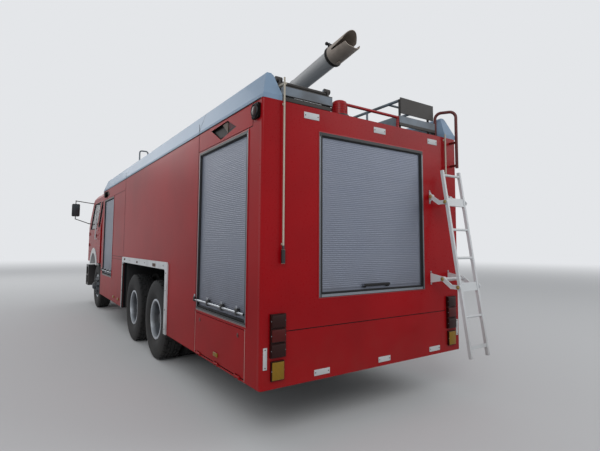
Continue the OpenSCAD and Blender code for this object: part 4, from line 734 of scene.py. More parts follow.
def tyre(bm, centre, tread_r):
    half = TYRE_WIDTH / 2
    base = tread_r - TREAD_DEPTH
    edge = half - 0.024
    tread = sorted({y for rib in RIBS for y in rib})
    outer = [(BEAD_R, half - 0.047), (BEAD_R + 0.012, half - 0.038), (BEAD_R + 0.06, half - 0.012),
             (tread_r - 0.16, half - 0.001), (tread_r - 0.13, half), (tread_r - 0.075, half - 0.004),
             (tread_r - 0.045, half - 0.01), (base - 0.012, edge + 0.004)]
    inner = [(tread_r - 0.03, 0.0), (tread_r - 0.05, half - 0.04), (tread_r - 0.13, half - 0.022),
             (BEAD_R + 0.04, half - 0.042), (BEAD_R, half - 0.068)]
    section = ([(r, -y) for r, y in outer] + [(base, y) for y in [-edge] + tread + [edge]]
               + [(r, y) for r, y in reversed(outer)] + [(r, y) for r, y in reversed(inner)]
               + [(r, -y) for r, y in inner[1:]] + [(outer[0][0], -outer[0][1])])
    before = set(bm.faces)

    def fresh():
        return [face for face in bm.faces if face not in before]

    lathe(bm, section, centre, LEFT, STEPS)
    bmesh.ops.remove_doubles(bm, verts=list({v for face in fresh() for v in face.verts}), dist=1e-5)
    blocks = []
    for face in fresh():
        middle = face.calc_center_median() - centre
        if abs(math.hypot(middle.x, middle.z) - base) > 0.002:
            continue
        step = round(math.atan2(middle.z, middle.x) % (2 * math.pi) / (2 * math.pi) * STEPS - 0.5)
        blocks += [face for (low, high), gap in zip(RIBS, GAPS) if low < middle.y < high and step % 5 != gap]
    bmesh.ops.recalc_face_normals(bm, faces=fresh())
    bmesh.ops.inset_region(bm, faces=blocks, thickness=0.0025, depth=TREAD_DEPTH, use_even_offset=True,
                           use_boundary=True)


def tyre_set(low, high):
    """One tyre in the box of its node, or two in the box of twin tyres."""
    middle = (low + high) / 2
    twin = high.y - low.y > TYRE_WIDTH * 1.5
    places = [low.y + TYRE_WIDTH / 2, high.y - TYRE_WIDTH / 2] if twin else [middle.y]

    def build(bm):
        for y in places:
            tyre(bm, Vector((middle.x, y, middle.z)), (high.x - low.x) / 2)
    return build


for name in [n for n in nodes if n.startswith("tyre")]:
    body = name.replace("tyres", "wheels").replace("tyre_", "wheel_")
    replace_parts(made(name.replace("tyre", "tread"), tyre_rubber, body,
                     tyre_set(*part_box(name)), 30.0), name)


# Rear wall: blank plates with their rivets, reflector strips, lamp lenses

SKIN = 0.0006
# Each plate from right to left and from below to above
PLATES = [(0.683, 0.845, 2.690, 2.748), (-0.137, 0.022, 2.690, 2.748), (-0.921, -0.770, 2.690, 2.748),
          (0.565, 0.730, 0.490, 0.540), (-0.170, -0.014, 0.490, 0.540), (-0.906, -0.740, 0.490, 0.540)]
STRIPS = [(1.186, 1.222, 0.612, 0.782), (-1.222, -1.186, 0.612, 0.782)]

TAIL_Y = 1.095
TAIL_ROWS = [(0.700, 0.810), (0.815, 0.925), (0.930, 1.040)]
AMBER_ROWS = [(0.520, 0.672)]
# How far the lamps stand out, and half the width between their screws
TAIL_OUT, TAIL_SCREWS = 0.0237, 0.06384
AMBER_OUT, AMBER_SCREWS = 0.0177, 0.0549


@fitting(plate_white, "chassis")
def rear_plates(bm):
    for y0, y1, z0, z1 in PLATES + STRIPS:
        block(bm, at(-0.004, y0, z0), at(-SKIN, y1, z1), 0.0012)


@fitting(rust_dark, "chassis")
def rear_rivets(bm):
    places = [(y, (z0 + z1) / 2) for y0, y1, z0, z1 in PLATES for y in (y0 + 0.014, y1 - 0.014)]
    places += [((y0 + y1) / 2, z) for y0, y1, z0, z1 in STRIPS for z in (z0 + 0.016, z1 - 0.016)]
    for y, z in places:
        dome(bm, at(-0.0036, y, z), -AHEAD, 0.0055, 0.003, 12)


def tail_lens(rows, out, half):
    @both
    def build(bm, side):
        for z0, z1 in rows:
            y = side * TAIL_Y
            block(bm, at(-out - 0.009, y - half, z0 + 0.007), at(-out - SKIN, y + half, z1 - 0.007), 0.004, 3)
    return build


made("stop_lenses", smoked_lens, "chassis", tail_lens(TAIL_ROWS[::2], TAIL_OUT, 0.062))
made("tail_lenses", red_lens, "chassis", tail_lens(TAIL_ROWS[1:2], TAIL_OUT, 0.062))
made("amber_lenses", amber_lens, "chassis", tail_lens(AMBER_ROWS, AMBER_OUT, 0.054))


@fitting(bright_metal, "chassis")
@both
def lamp_screws(bm, side):
    for rows, out, reach in ((TAIL_ROWS, TAIL_OUT, TAIL_SCREWS), (AMBER_ROWS, AMBER_OUT, AMBER_SCREWS)):
        for z0, z1 in rows:
            for y in (-reach, reach):
                dome(bm, at(-out - 0.0005, side * TAIL_Y + y, (z0 + z1) / 2), -AHEAD, 0.004, 0.003, 10)


# Side marker lamps, corner lamps and scene lamps

# The rear ends of the pockets for the scene lamps
POCKETS = (0.505, 6.94)


@fitting(amber_lens, "chassis")
@both
def side_markers(bm, side):
    for s in (5.60, 6.05):
        block(bm, on_body(s - 0.05, side, SKIN, 0.54), on_body(s + 0.05, side, 0.014, 0.58), 0.005, 3)


@each(amber_lens, "flap_")
def flap_marker(bm, side):
    block(bm, on_body(0.824, side, SKIN, 0.535), on_body(0.924, side, 0.010, 0.573), 0.004, 3)


def corner_places(side):
    return [on_body(s, side, 0.0243, 2.70) for s in (0.095, 7.42)]


@fitting(smoked_lens, "chassis")
@both
def corner_lamps(bm, side):
    for place in corner_places(side):
        dome(bm, place, LEFT * side, 0.047, 0.016, 40)


@fitting(black_plastic, "chassis")
@both
def corner_bezels(bm, side):
    for place in corner_places(side):
        bezel(bm, place, LEFT * side, 0.049, 0.056, 0.009)
        for x, z in rectangle(-0.048, 0.048, -0.054, 0.054):
            dome(bm, place + Vector((x, 0, z)), LEFT * side, 0.004, 0.003, 10)


def pocket_plates(outline, thickness):
    """A flat piece deep in each scene-lamp pocket, with its outline from the pocket's rear end."""
    @both
    def build(bm, side):
        for s0 in POCKETS:
            plate(bm, [on_body(s0 + s, side, -0.030, z) for s, z in outline], LEFT * side * thickness)
    return build


made("scene_lamp_wedges", rust_pale, "chassis",
     pocket_plates([(0.330, 2.757), (0.215, 2.760), (0.200, 2.652)], 0.022))
made("scene_lamp_lenses", pocket_red, "chassis",
     pocket_plates([(0.195, 2.762), (0.195, 2.646), (0.012, 2.672)], 0.016))


# Thin strips on the side walls


def skin_strip(bm, side, s0, s1, z0, z1):
    block(bm, on_body(s0, side, 0.0002, z0), on_body(s1, side, 0.0012, z1), 0.0)


@fitting(seal_rubber, "chassis")
@both
def body_seams(bm, side):
    """Sealant in the joints of the side panels and the coamings."""
    for s, foot in ((1.46, 0.88), (5.28, 1.45)):
        skin_strip(bm, side, s - 0.0045, s + 0.0045, foot, body_top - 0.010)
        skin_strip(bm, side, s - 0.0045, s + 0.0045, body_top + 0.004, body_top + 0.112)
    for z in (1.352, 1.300):
        skin_strip(bm, side, 5.29, 6.35, z, z + 0.006)


@fitting(edge_highlight_red, "chassis")
@both
def flap_edge_highlights(bm, side):
    """Pale strips on the wall on both sides of each step flap: painted highlight along its edges."""
    for s in (0.265, 1.445):
        skin_strip(bm, side, s - 0.004, s + 0.004, 0.462, 0.888)


# Shutters: seals, ribbed faces, latches and hooks on the lift bars, and the rear handle

# The lift bars and the posts beside them
BAR_OUT = 0.006
BAR_Z = BAY_LOW + 0.092
POST_OUT = 0.0132

# How deep the seals lie, their play in the opening, and the ends of the upper and lower ones
SEAL_FACE, SILL_FACE, SEAL_BACK = 0.0015, 0.004, 0.0145
SEAL_PLAY = 0.0006
SEAL_ENDS, REAR_SEAL_ENDS = 0.014, 0.016


@fitting(seal_rubber, "chassis")
def shutter_seals(bm):
    """Seals along the edges and the top of each curtain."""
    def rear(y0, y1, z0, z1):
        block(bm, at(SEAL_FACE, y0, z0), at(SEAL_BACK, y1, z1), 0.003)

    def bay(side, s0, s1, z0, z1):
        block(bm, on_body(s0, side, -SEAL_FACE, z0), on_body(s1, side, -SEAL_BACK, z1), 0.003)

    for side in SIDES:
        for s0, s1 in CLEAR_BAYS:
            for s in (s0 + SEAL_PLAY, s1 - SEAL_PLAY - 0.012):
                bay(side, s, s + 0.012, CLEAR_LOW + 0.001, CLEAR_TOP - 0.001)
            bay(side, s0 + SEAL_ENDS, s1 - SEAL_ENDS, CLEAR_TOP - 0.013, CLEAR_TOP - SEAL_PLAY)
        edge = CLEAR_REAR - SEAL_PLAY
        rear(side * edge, side * (edge - 0.014), CLEAR_REAR_LOW + 0.001, CLEAR_REAR_TOP - 0.001)
    end = CLEAR_REAR - REAR_SEAL_ENDS
    rear(-end, end, CLEAR_REAR_TOP - 0.013, CLEAR_REAR_TOP - SEAL_PLAY)


@fitting(seal_rubber, "chassis")
def shutter_sills(bm):
    """The seal under each curtain."""
    for side in SIDES:
        for s0, s1 in CLEAR_BAYS:
            block(bm, on_body(s0 + SEAL_ENDS, side, -SEAL_BACK, CLEAR_LOW + SEAL_PLAY),
                  on_body(s1 - SEAL_ENDS, side, -SILL_FACE, CLEAR_LOW + 0.020), 0.004)
    end = CLEAR_REAR - REAR_SEAL_ENDS
    block(bm, at(SILL_FACE, -end, CLEAR_REAR_LOW + SEAL_PLAY),
          at(SEAL_BACK, end, CLEAR_REAR_LOW + 0.018), 0.004)


# The height of one rib of a curtain's face
SLAT = 0.018


def curtain_section(low, high):
    """The face of a curtain from the side: (how far it stands out, height), with a groove at each slat."""
    points = [(-0.003, low), (0.0, low)]
    z = low + 0.004
    while z + SLAT < high:
        points += [(0.0, z), (0.0012, z + 0.003), (0.0012, z + 0.0125), (0.0, z + 0.0155)]
        z += SLAT
    return points + [(0.0, high), (-0.003, high)]


@fitting(shutter_slats, "chassis", 20.0)
def shutter_curtains(bm):
    """Finely ribbed faces of the rolled curtains."""
    face = curtain_section(BAY_LOW + 0.0715, CLEAR_TOP - 0.001)
    for side in SIDES:
        for s0, s1 in CLEAR_BAYS:
            plate(bm, [on_body(s0 + 0.0005, side, d - 0.0158, z) for d, z in face], AHEAD * (s1 - s0 - 0.001))
    face = curtain_section(REAR_LOW + 0.062, CLEAR_REAR_TOP - 0.001)
    plate(bm, [at(0.0158 - d, 0.0005 - CLEAR_REAR, z) for d, z in face], LEFT * 2 * (CLEAR_REAR - 0.0005))


def bar_stations(s0, s1):
    return [s0 + (s1 - s0) * share for share in (0.14, 0.42, 0.72)]


@fitting(black_plastic, "chassis")
@both
def lift_latches(bm, side):
    """Dark latch bodies round the lift bars, the foremost one on the post beside the opening."""
    for s0, s1 in SIDE_BAYS:
        for s in bar_stations(s0, s1):
            block(bm, on_body(s - 0.021, side, -0.0150, BAR_Z - 0.024),
                  on_body(s + 0.021, side, BAR_OUT + 0.015, BAR_Z + 0.036), 0.007, 3)
        block(bm, on_body(s1 + 0.020, side, 0.0003, BAR_Z - 0.018),
              on_body(s1 + 0.046, side, 0.026, BAR_Z + 0.032), 0.006, 3)


HOOK = ((-0.011, 0.030), (-0.009, 0.052), (0.009, 0.052), (0.011, 0.030))


@fitting(bright_metal, "chassis")
@both
def lift_loops(bm, side):
    """Bright hooks over the latches, a sleeve on each bar, and the bar's end over the post."""
    for s0, s1 in SIDE_BAYS:
        for s in bar_stations(s0, s1) + [s1 + 0.033]:
            tube(bm, [on_body(s + x, side, BAR_OUT + 0.006, BAR_Z + z) for x, z in HOOK], 0.0045, 8)
        lathe(bm, [(0.0092, 0.0), (0.0120, 0.001), (0.0120, s1 - s0 - 0.094), (0.0092, s1 - s0 - 0.093)],
              on_body(s0 + 0.034, side, BAR_OUT, BAR_Z), AHEAD, 24)
        tube(bm, [on_body(s1 + x, side, out, BAR_Z)
                  for x, out in ((-0.062, BAR_OUT), (-0.034, POST_OUT), (0.052, POST_OUT))], 0.0075, 12)


@fitting(seal_rubber, "chassis")
def rear_grip(bm):
    """Ribbed sleeve on the handle of the rear curtain, and its two feet."""
    z = REAR_LOW + 0.080
    ribs = [(0.0092, -0.168), (0.0125, -0.166)]
    for i in range(33):
        y = -0.160 + 0.010 * i
        ribs += [(0.0128, y - 0.003), (0.0112, y), (0.0128, y + 0.003)]
    ribs += [(0.0125, 0.166), (0.0092, 0.168)]
    lathe(bm, ribs, at(-0.004, 0, z), LEFT, 24)
    for y in (-0.15, 0.15):
        block(bm, at(-0.001, y - 0.018, z - 0.024), at(0.0152, y + 0.018, z - 0.0088), 0.003)


# Wheel arch trims: bolts and fixing plates; coamings: rivets and a seal along the foot

ARCH_ENDS = (2.565, 5.185)


@fitting(rust_dark, "chassis")
@both
def arch_bolts(bm, side):
    first, last = ARCH_ENDS[0] - 0.0475, ARCH_ENDS[1] + 0.0475
    places = [(s, z) for s in (first, last) for z in (0.52, 0.76, 1.00, 1.22)]
    places += [(first + 0.12 + (last - first - 0.24) * i / 5, 1.3125) for i in range(6)]
    for s, z in places:
        dome(bm, on_body(s, side, 0.0181, z), LEFT * side, 0.0085, 0.005, 14)


@fitting(bright_metal, "chassis")
@both
def coaming_rivets(bm, side):
    for i in range(51):
        dome(bm, on_body(0.09 + 0.1514 * i, side, 0.0001, body_top + 0.014), LEFT * side, 0.006, 0.0028, 10)


@fitting(rust_dark, "chassis")
@both
def trim_plates(bm, side):
    """Dark fixing plates along the top of each arch trim: place, height, half length and half width."""
    for s, z, half, rise in ((5.05, 1.322, 0.045, 0.017), (4.11, 1.305, 0.035, 0.015),
                             (3.09, 1.303, 0.075, 0.021)):
        outline = rectangle(s - half, s + half, z - rise, z + rise)
        plate(bm, [on_body(x, side, 0.0182, y) for x, y in outline], LEFT * side * 0.004, 0.008)


@fitting(seal_rubber, "chassis")
@both
def coaming_seals(bm, side):
    """Sealing strip where the coaming stands on the side wall."""
    block(bm, on_body(0.03, side, SKIN, body_top - 0.008),
          on_body(7.72, side, 0.004, body_top + 0.002), 0.0015)


# Step flaps: a turning latch at each upper corner


@each(rail_maroon, "flap_")
def flap_latches(bm, side):
    for s in (0.40, 1.31):
        dome(bm, on_body(s, side, 0.0001, 0.815), LEFT * side, 0.020, 0.004, 32)
        block(bm, on_body(s - 0.014, side, 0.0001, 0.812), on_body(s + 0.014, side, 0.0071, 0.818), 0.0015)


# Ladder: feet and caps on the rails, brass heads on the pins; and the grip of the left pull rod

LADDER_Y = -0.930
LEAN = math.radians(8.7)
# The pins of the arms: on the wall and on the ladder, upper pair and lower pair
PIN_A, PIN_B = (-0.035, 2.110), (-0.21705, 2.04012)
PIN_D, PIN_C = (-0.16660, 1.25001), (-0.34865, 1.18013)
LADDER_PLACE = Matrix.Translation(at(PIN_B[0], LADDER_Y, PIN_B[1])) @ Matrix.Rotation(LEAN, 4, "Y")


def rail_ends(low, high, half, spare):
    """A block on each rail's end, square to the rails: its span along them and its reach past them."""
    def build(bm):
        for y in (-0.150, 0.125):
            block(bm, (-half, y - spare, low), (half, y + 0.025 + spare, high), 0.003)
        bmesh.ops.transform(bm, matrix=LADDER_PLACE, verts=bm.verts)
    return build


made("ladder_feet", tube_white, "ladder", rail_ends(-1.5462, -1.515, 0.0165, 0.0012))
made("ladder_caps", tube_white, "ladder", rail_ends(0.330, 0.3408, 0.0170, 0.0010))


def pin_heads(*pins):
    def build(bm):
        for x, z in pins:
            for way in (-1, 1):
                place = at(x, LADDER_Y + way * 0.1732, z)
                dome(bm, place, LEFT * way, 0.0145, 0.006, 20)
                rod(bm, place - LEFT * way * 0.0005, place + LEFT * way * 0.0025, 0.019, 24)
    return build


made("ladder_pin_heads", brass, "ladder", pin_heads(PIN_B, PIN_C))
made("wall_pin_heads", brass, "chassis", pin_heads(PIN_A, PIN_D))


@fitting(bright_metal, "chassis")
def bracket_bolts(bm):
    for y in (-0.1425, 0.1425):
        for bracket_z in (2.11, 1.25):
            for z in (bracket_z + 0.062, bracket_z - 0.062):
                bolt(bm, at(-SKIN, LADDER_Y + y, z), -AHEAD, 0.008, 0.007)


@fitting(black_plastic, "chassis")
def rod_grip(bm):
    """Dark moulded sleeve with finger ridges on the left pull rod's grip, and a ferrule on top of it."""
    ridges = [(0.0155, 0.0)]
    for i in range(9):
        ridges += [(0.0185, 0.004 + 0.0115 * i), (0.0170, 0.0098 + 0.0115 * i)]
    ridges += [(0.0185, 0.108), (0.0155, 0.111)]
    ferrule = [(0.0075, 0.0), (0.0115, 0.0), (0.0105, 0.030), (0.0075, 0.034)]
    lathe(bm, ridges, at(-0.026, 1.06, 1.4405), UP, 24)
    lathe(bm, ferrule, at(-0.026, 1.06, 1.5525), UP, 20)


# Roof: deck handles and bolts, the monitor's fittings, a dark sheet of painted shade under the rack's panel,
# and the beacon


@fitting(bright_metal, "chassis")
def deck_handles(bm):
    """Two lifting handles and a ring of bolts on each tank cover."""
    bow = [(0.10, 0.069), (0.10, 0.105), (-0.10, 0.105), (-0.10, 0.069)]
    for s in (3.40, 4.80, 6.10):
        for y in (0.10, -0.10):
            tube(bm, [at(s + x, y, body_top + z) for x, z in bow], 0.007)
        bolt_ring(bm, at(s, 0, body_top + 0.0701), UP, 0.24, 12, 0.010, 0.009)


@fitting(bright_metal, "chassis")
def monitor_bolts(bm):
    bolt_ring(bm, at(MONITOR_S, 0, body_top + 0.0253), UP, 0.148, 8, 0.014, 0.014, math.pi / 8)
    bolt_ring(bm, at(MONITOR_S, 0, MONITOR_Z - 0.2751), -UP, 0.108, 8, 0.010, 0.010)


@fitting(black_plastic, "monitor_head")
def hand_wheel(bm):
    """Turning wheel on the side of the head's gearbox."""
    centre = at(MONITOR_S + 0.150, -0.048, MONITOR_Z - 0.155)
    rod(bm, centre + LEFT * 0.004, centre - LEFT * 0.060, 0.012, 16)
    hub = centre - LEFT * 0.055
    rim, bar = 0.062, 0.009
    angles = [2 * math.pi * i / 12 for i in range(13)]
    lathe(bm, [(rim + bar * math.cos(a), bar * math.sin(a)) for a in angles], hub, LEFT, 40)
    for i in range(3):
        turn = Matrix.Rotation(2 * math.pi * i / 3, 3, "Y")
        rod(bm, hub, hub + turn @ Vector((0.056, 0, 0)), 0.006, 10)
    rod(bm, hub + Vector((0, -0.004, 0.058)), hub + Vector((0, -0.045, 0.058)), 0.009, 14, 0.012)


def on_barrel(along, up, y):
    """A point along the barrel towards its outlet, and above its axis."""
    return at(MONITOR_S - along * math.cos(LIFT) + up * math.sin(LIFT), y,
              MONITOR_Z + along * math.sin(LIFT) + up * math.cos(LIFT))


OUTWARD = Vector((-math.cos(LIFT), 0, math.sin(LIFT)))
CROSS_BAR = (1.656, 0.138)
# Each band's place along the barrel and the barrel's radius there
BANDS = [(0.30, 0.0952), (0.86, 0.0962)]


@fitting(seal_rubber, "monitor_barrel")
def deflector_bar(bm):
    """Black sleeve with end knobs on the deflector's cross bar, and the pin that stands over it."""
    ends = [on_barrel(*CROSS_BAR, -0.080), on_barrel(*CROSS_BAR, 0.080)]
    tube(bm, ends, 0.0135, 16)
    for end in ends:
        ball(bm, end, 0.020, 20, 12)
    rod(bm, on_barrel(1.648, 0.118, 0), on_barrel(1.640, 0.162, 0), 0.009, 14)


@fitting(barrel_alloy, "monitor_barrel")
def barrel_bands(bm):
    for along, radius in BANDS:
        inner, outer = radius - 0.004, radius + 0.004
        lathe(bm, [(inner, 0), (outer, 0.002), (outer, 0.028), (inner, 0.030)],
              on_barrel(along, 0, 0), OUTWARD, 64)


@fitting(barrel_alloy, "monitor_barrel")
def barrel_screws(bm):
    for along, radius in BANDS:
        middle = along + 0.015
        reach = radius + 0.0038
        for y, up in ((0, 1), (0.866, -0.5), (-0.866, -0.5)):
            place = on_barrel(middle, up * reach, y * reach)
            bolt(bm, place, place - on_barrel(middle, 0, 0), 0.009, 0.010)


@fitting(seal_rubber, "chassis")
def rack_shade_sheet(bm):
    """Dark sheet behind the left rack's panel, down to the deck: painted shade under the panel."""
    block(bm, at(0.1005, 0.475, body_top + 0.0015), at(0.1045, 1.030, 2.884), 0.001)


BEACON_FOOT = at(0.100, 0.370, body_top + 0.0003)


@fitting(beacon_red, "chassis")
def beacon_ribs(bm):
    """Upright ribs of the beacon's lens."""
    ribs = 36
    for i in range(ribs):
        turn = Matrix.Rotation(2 * math.pi * i / ribs, 3, "Z")
        foot, tip = turn @ Vector((0.0765, 0, 0.030)), turn @ Vector((0.0745, 0, 0.126))
        rod(bm, BEACON_FOOT + foot, BEACON_FOOT + tip, 0.0022, 6)


@fitting(black_plastic, "chassis")
def beacon_base(bm):
    """The dark band at the beacon's foot."""
    lathe(bm, [(0.0853, 0.001), (0.092, 0.001), (0.092, 0.014), (0.0853, 0.021)], BEACON_FOOT, UP, 48)


# Cab glazing: rubber round each window, and the wipers

WAIST = 1.95
SCREEN_LOW, SCREEN_HIGH = 1.99, 2.66
SCREEN_HALF = 1.06
DOOR_WINDOW = [(8.65, 1.96), (9.74, 1.96), (9.68, 2.655), (8.65, 2.655)]
QUARTER_WINDOW = rectangle(8.17, 8.46, 1.99, 2.64)
# How far the side windows and the windscreen lean in for each metre above the waist
SIDE_LEAN, SCREEN_LEAN = 0.095 / 0.835, 0.190 / 0.750
SCREEN_WAY = Vector((1, 0, SCREEN_LEAN)).normalized()
# How far a gasket starts behind the pane's face, its depth, and its play in the opening
GASKET_FOOT, GASKET_DEPTH, GASKET_PLAY = -0.0135, 0.0165, 0.0012


def side_window(points, side):
    """The outline of a side window's gasket, a little smaller than its opening."""
    s_mid = sum(s for s, _ in points) / len(points)
    z_mid = sum(z for _, z in points) / len(points)
    smaller = [(s - math.copysign(GASKET_PLAY, s - s_mid), z - math.copysign(GASKET_PLAY, z - z_mid))
               for s, z in points]
    return [on_cab(s, side, GASKET_FOOT - max(0.0, z - WAIST) * SIDE_LEAN, z) for s, z in smaller]


def side_gasket(bm, side, points, radius):
    way = Vector((0, side, SIDE_LEAN)).normalized()
    frame_strip(bm, side_window(points, side), way * GASKET_DEPTH, 0.020, radius)


@fitting(seal_rubber, "cab")
@both
def quarter_gaskets(bm, side):
    side_gasket(bm, side, QUARTER_WINDOW, 0.040)


@each(seal_rubber, "door_")
def door_gasket(bm, side):
    side_gasket(bm, side, DOOR_WINDOW, 0.012)


def on_screen(y, z, out):
    """A point by how far it stands out from the windscreen."""
    return at(CAB_S1 - (z - WAIST) * SCREEN_LEAN, y, z) + SCREEN_WAY * out


@fitting(seal_rubber, "cab")
def screen_gasket(bm):
    low, high, half = SCREEN_LOW + GASKET_PLAY, SCREEN_HIGH - GASKET_PLAY, SCREEN_HALF - GASKET_PLAY
    outline = [on_screen(y, z, GASKET_FOOT) for y, z in rectangle(-half, half, low, high)]
    frame_strip(bm, outline, SCREEN_WAY * GASKET_DEPTH, 0.024, 0.02)


@fitting(black_plastic, "cab")
def wipers(bm):
    """Each wiper's spindle, arm, blade holder and two-layered blade."""
    for y in (0.62, -0.16):
        first, last = y - 0.74, y - 0.14
        pivot = on_screen(y, 1.972, 0.004)
        rod(bm, pivot, pivot + SCREEN_WAY * 0.022, 0.016, 20)
        tip = on_screen(y - 0.44, 2.075, 0.030)
        tube(bm, [pivot + SCREEN_WAY * 0.016, tip], 0.006, 8)
        tube(bm, [on_screen(first, 2.052, 0.022), tip, on_screen(last, 2.098, 0.022)], 0.0045, 8)
        for out, radius in ((0.006, 0.0055), (0.013, 0.0045)):
            rod(bm, on_screen(first, 2.046, out), on_screen(last, 2.092, out), radius, 6)


# Cab front: mesh behind the grille slots, lamps and treads in the bumper, mirrors, light bar and roof lamps

GRILLE_ROWS = [1.400 + 0.095 * i for i in range(5)]
GRILLE_HALF = 0.7592
BUMPER_S = CAB_S1 + 0.180


@fitting(black_plastic, "cab")
def grille_mesh(bm):
    """In each slot a dark back, upright bars and one bar across."""
    def layer(s0, s1, y0, y1, z0, z1):
        block(bm, at(CAB_S1 + s0, y0, z0), at(CAB_S1 + s1, y1, z1), 0.0)

    for z in GRILLE_ROWS:
        layer(-0.0274, -0.020, -GRILLE_HALF, GRILLE_HALF, z + 0.0008, z + 0.0542)
        for i in range(76):
            y = -0.750 + 0.020 * i
            layer(-0.0202, -0.011, y - 0.0025, y + 0.0025, z + 0.001, z + 0.054)
        layer(-0.0202, -0.009, -GRILLE_HALF, GRILLE_HALF, z + 0.025, z + 0.030)


def head_places(side):
    return [at(BUMPER_S + 0.0064, side * y, 0.735) for y in (0.945, 1.085)]


@fitting(lamp_lens, "chassis")
@both
def head_lamps(bm, side):
    for place in head_places(side):
        dome(bm, place, AHEAD, 0.062, 0.014, 40)


@fitting(bright_metal, "chassis")
@both
def head_bezels(bm, side):
    for place in head_places(side):
        bezel(bm, place, AHEAD, 0.063, 0.069, 0.010)


@fitting(amber_lens, "cab")
@both
def turn_lamps(bm, side):
    """Indicators over the lamps, at the cab's front corners."""
    block(bm, at(CAB_S1 + SKIN, side * 0.90, 1.22), at(CAB_S1 + 0.022, side * 1.04, 1.29), 0.008, 3)


@fitting(seal_rubber, "chassis")
@both
def bumper_treads(bm, side):
    """Ribbed rubber on the steps in the bumper's ends."""
    for z in (0.5401, 0.7751):
        for i in range(6):
            y = 0.995 + 0.040 * i
            block(bm, at(BUMPER_S - 0.470, side * y, z),
                  at(BUMPER_S - 0.122, side * (y + 0.022), z + 0.007), 0.002)


@fitting(mirror_glass, "cab")
@both
def mirror_faces(bm, side):
    middle = side * (CAB_HALF + 0.355)
    outline = rectangle(middle - 0.083, middle + 0.083, 2.345, 2.655)
    plate(bm, [at(CAB_S1 - 0.2354, y, z) for y, z in outline], -AHEAD * 0.003, 0.022)


@fitting(black_plastic, "cab")
def light_bar_caps(bm):
    """The caps on both ends of the light bar and the block in its middle."""
    front = [(0.123, -0.0015), (0.123, 0.068), (0.098, 0.1125)]
    profile = front + [(-x, z) for x, z in reversed(front)]
    for y0, y1 in ((0.715, 0.783), (-0.783, -0.715), (-0.11, 0.11)):
        outline = [at(CAB_S0 + 0.620 + x, y0, CAB_TOP + 0.0253 + z) for x, z in profile]
        plate(bm, outline, LEFT * (y1 - y0), 0.012)


@fitting(amber_lens, "cab")
def roof_lamps(bm):
    for i in range(5):
        base = at(CAB_S1 - 0.700, -0.72 + 0.36 * i, CAB_TOP - 0.0425)
        block(bm, base + Vector((-0.030, -0.045, 0.0)), base + Vector((0.036, 0.045, 0.034)), 0.012, 3)


# Doors: pull handles in dark recess plates with a lock under them, and inner trims


@each(black_plastic, "door_")
def door_handle(bm, side):
    block(bm, on_cab(8.625, side, SKIN, 1.755), on_cab(8.805, side, 0.006, 1.835), 0.010, 3)
    block(bm, on_cab(8.640, side, 0.018, 1.785), on_cab(8.790, side, 0.034, 1.812), 0.006, 3)
    for s in (8.655, 8.775):
        block(bm, on_cab(s - 0.012, side, 0.004, 1.788), on_cab(s + 0.012, side, 0.022, 1.809), 0.004)
    dome(bm, on_cab(8.612, side, SKIN, 1.710), LEFT * side, 0.014, 0.006, 24)


@each(trim_grey, "door_")
def door_trim(bm, side):
    """The trim panel and the arm rest on it."""
    outline = [(8.75, 1.56), (9.62, 1.56), (9.70, 1.62), (9.70, 1.90), (8.64, 1.90), (8.64, 1.62)]
    plate(bm, [on_cab(s, side, -0.062, z) for s, z in outline], LEFT * side * 0.0114, 0.03)
    block(bm, on_cab(8.95, side, -0.105, 1.73), on_cab(9.40, side, -0.060, 1.78), 0.012, 3)


# Seats: each cushion and back is blown up as cloth, sewn, and subdivided once

SEAT_Y, SEAT_HALF = 0.80, 0.24
CUSHION_TOP, BACK_TOP = 1.76, 2.46
PAD_GAP = 0.012


def pad_block(bm, low, high):
    """The pad's box, smaller all round by the room that it swells into."""
    block(bm, low + Vector((PAD_GAP,) * 3), high - Vector((PAD_GAP,) * 3), 0.034, 4)


def cushion(bm):
    pad_block(bm, at(8.95, SEAT_Y - SEAT_HALF, 1.63), at(9.45, SEAT_Y + SEAT_HALF, CUSHION_TOP))


def backrest(bm):
    """Leans back as it rises, and narrows towards its top."""
    pad_block(bm, at(8.84, SEAT_Y - SEAT_HALF, CUSHION_TOP), at(8.95, SEAT_Y + SEAT_HALF, BACK_TOP))
    edges = [e for e in bm.edges if e.calc_length() > 0.3]
    bmesh.ops.subdivide_edges(bm, edges=edges, cuts=7, use_grid_fill=True)
    for vert in bm.verts:
        rise = (vert.co.z - CUSHION_TOP) / (BACK_TOP - CUSHION_TOP)
        vert.co.x -= 0.11 * rise
        vert.co.y = SEAT_Y + (vert.co.y - SEAT_Y) * (1 - 0.22 * max(0.0, rise - 0.55) ** 1.2)


def even_mesh(build):
    """The built shape as an even grid of small quads."""
    bm = bmesh.new()
    build(bm)
    bmesh.ops.recalc_face_normals(bm, faces=bm.faces)
    mesh = bpy.data.meshes.new("pad")
    bm.to_mesh(mesh)
    bm.free()
    body = placed("pad", mesh)
    remesh = body.modifiers.new("remesh", "REMESH")
    remesh.mode = "VOXEL"
    remesh.voxel_size = 0.0065
    graph = bpy.context.evaluated_depsgraph_get()
    even = bpy.data.meshes.new_from_object(body.evaluated_get(graph))
    bpy.data.objects.remove(body)
    return even


def swell(mesh, reach):
    """Blows the mesh up as cloth, moving no point further than reach."""
    body = placed("pad", mesh)
    cloth = body.modifiers.new("cloth", "CLOTH").settings
    cloth.quality = 4
    cloth.use_pressure = True
    cloth.uniform_pressure_force = 4.0
    cloth.effector_weights.gravity = 0.0
    for step in range(1, 21):
        scene.frame_set(step)
    blown = body.evaluated_get(bpy.context.evaluated_depsgraph_get()).to_mesh()
    moves = [moved.co - vert.co for vert, moved in zip(mesh.vertices, blown.vertices)]
    bpy.data.objects.remove(body)
    scene.frame_set(1)
    for vert, move in zip(mesh.vertices, moves):
        vert.co += move * min(1.0, reach / max(move.length, 1e-6))


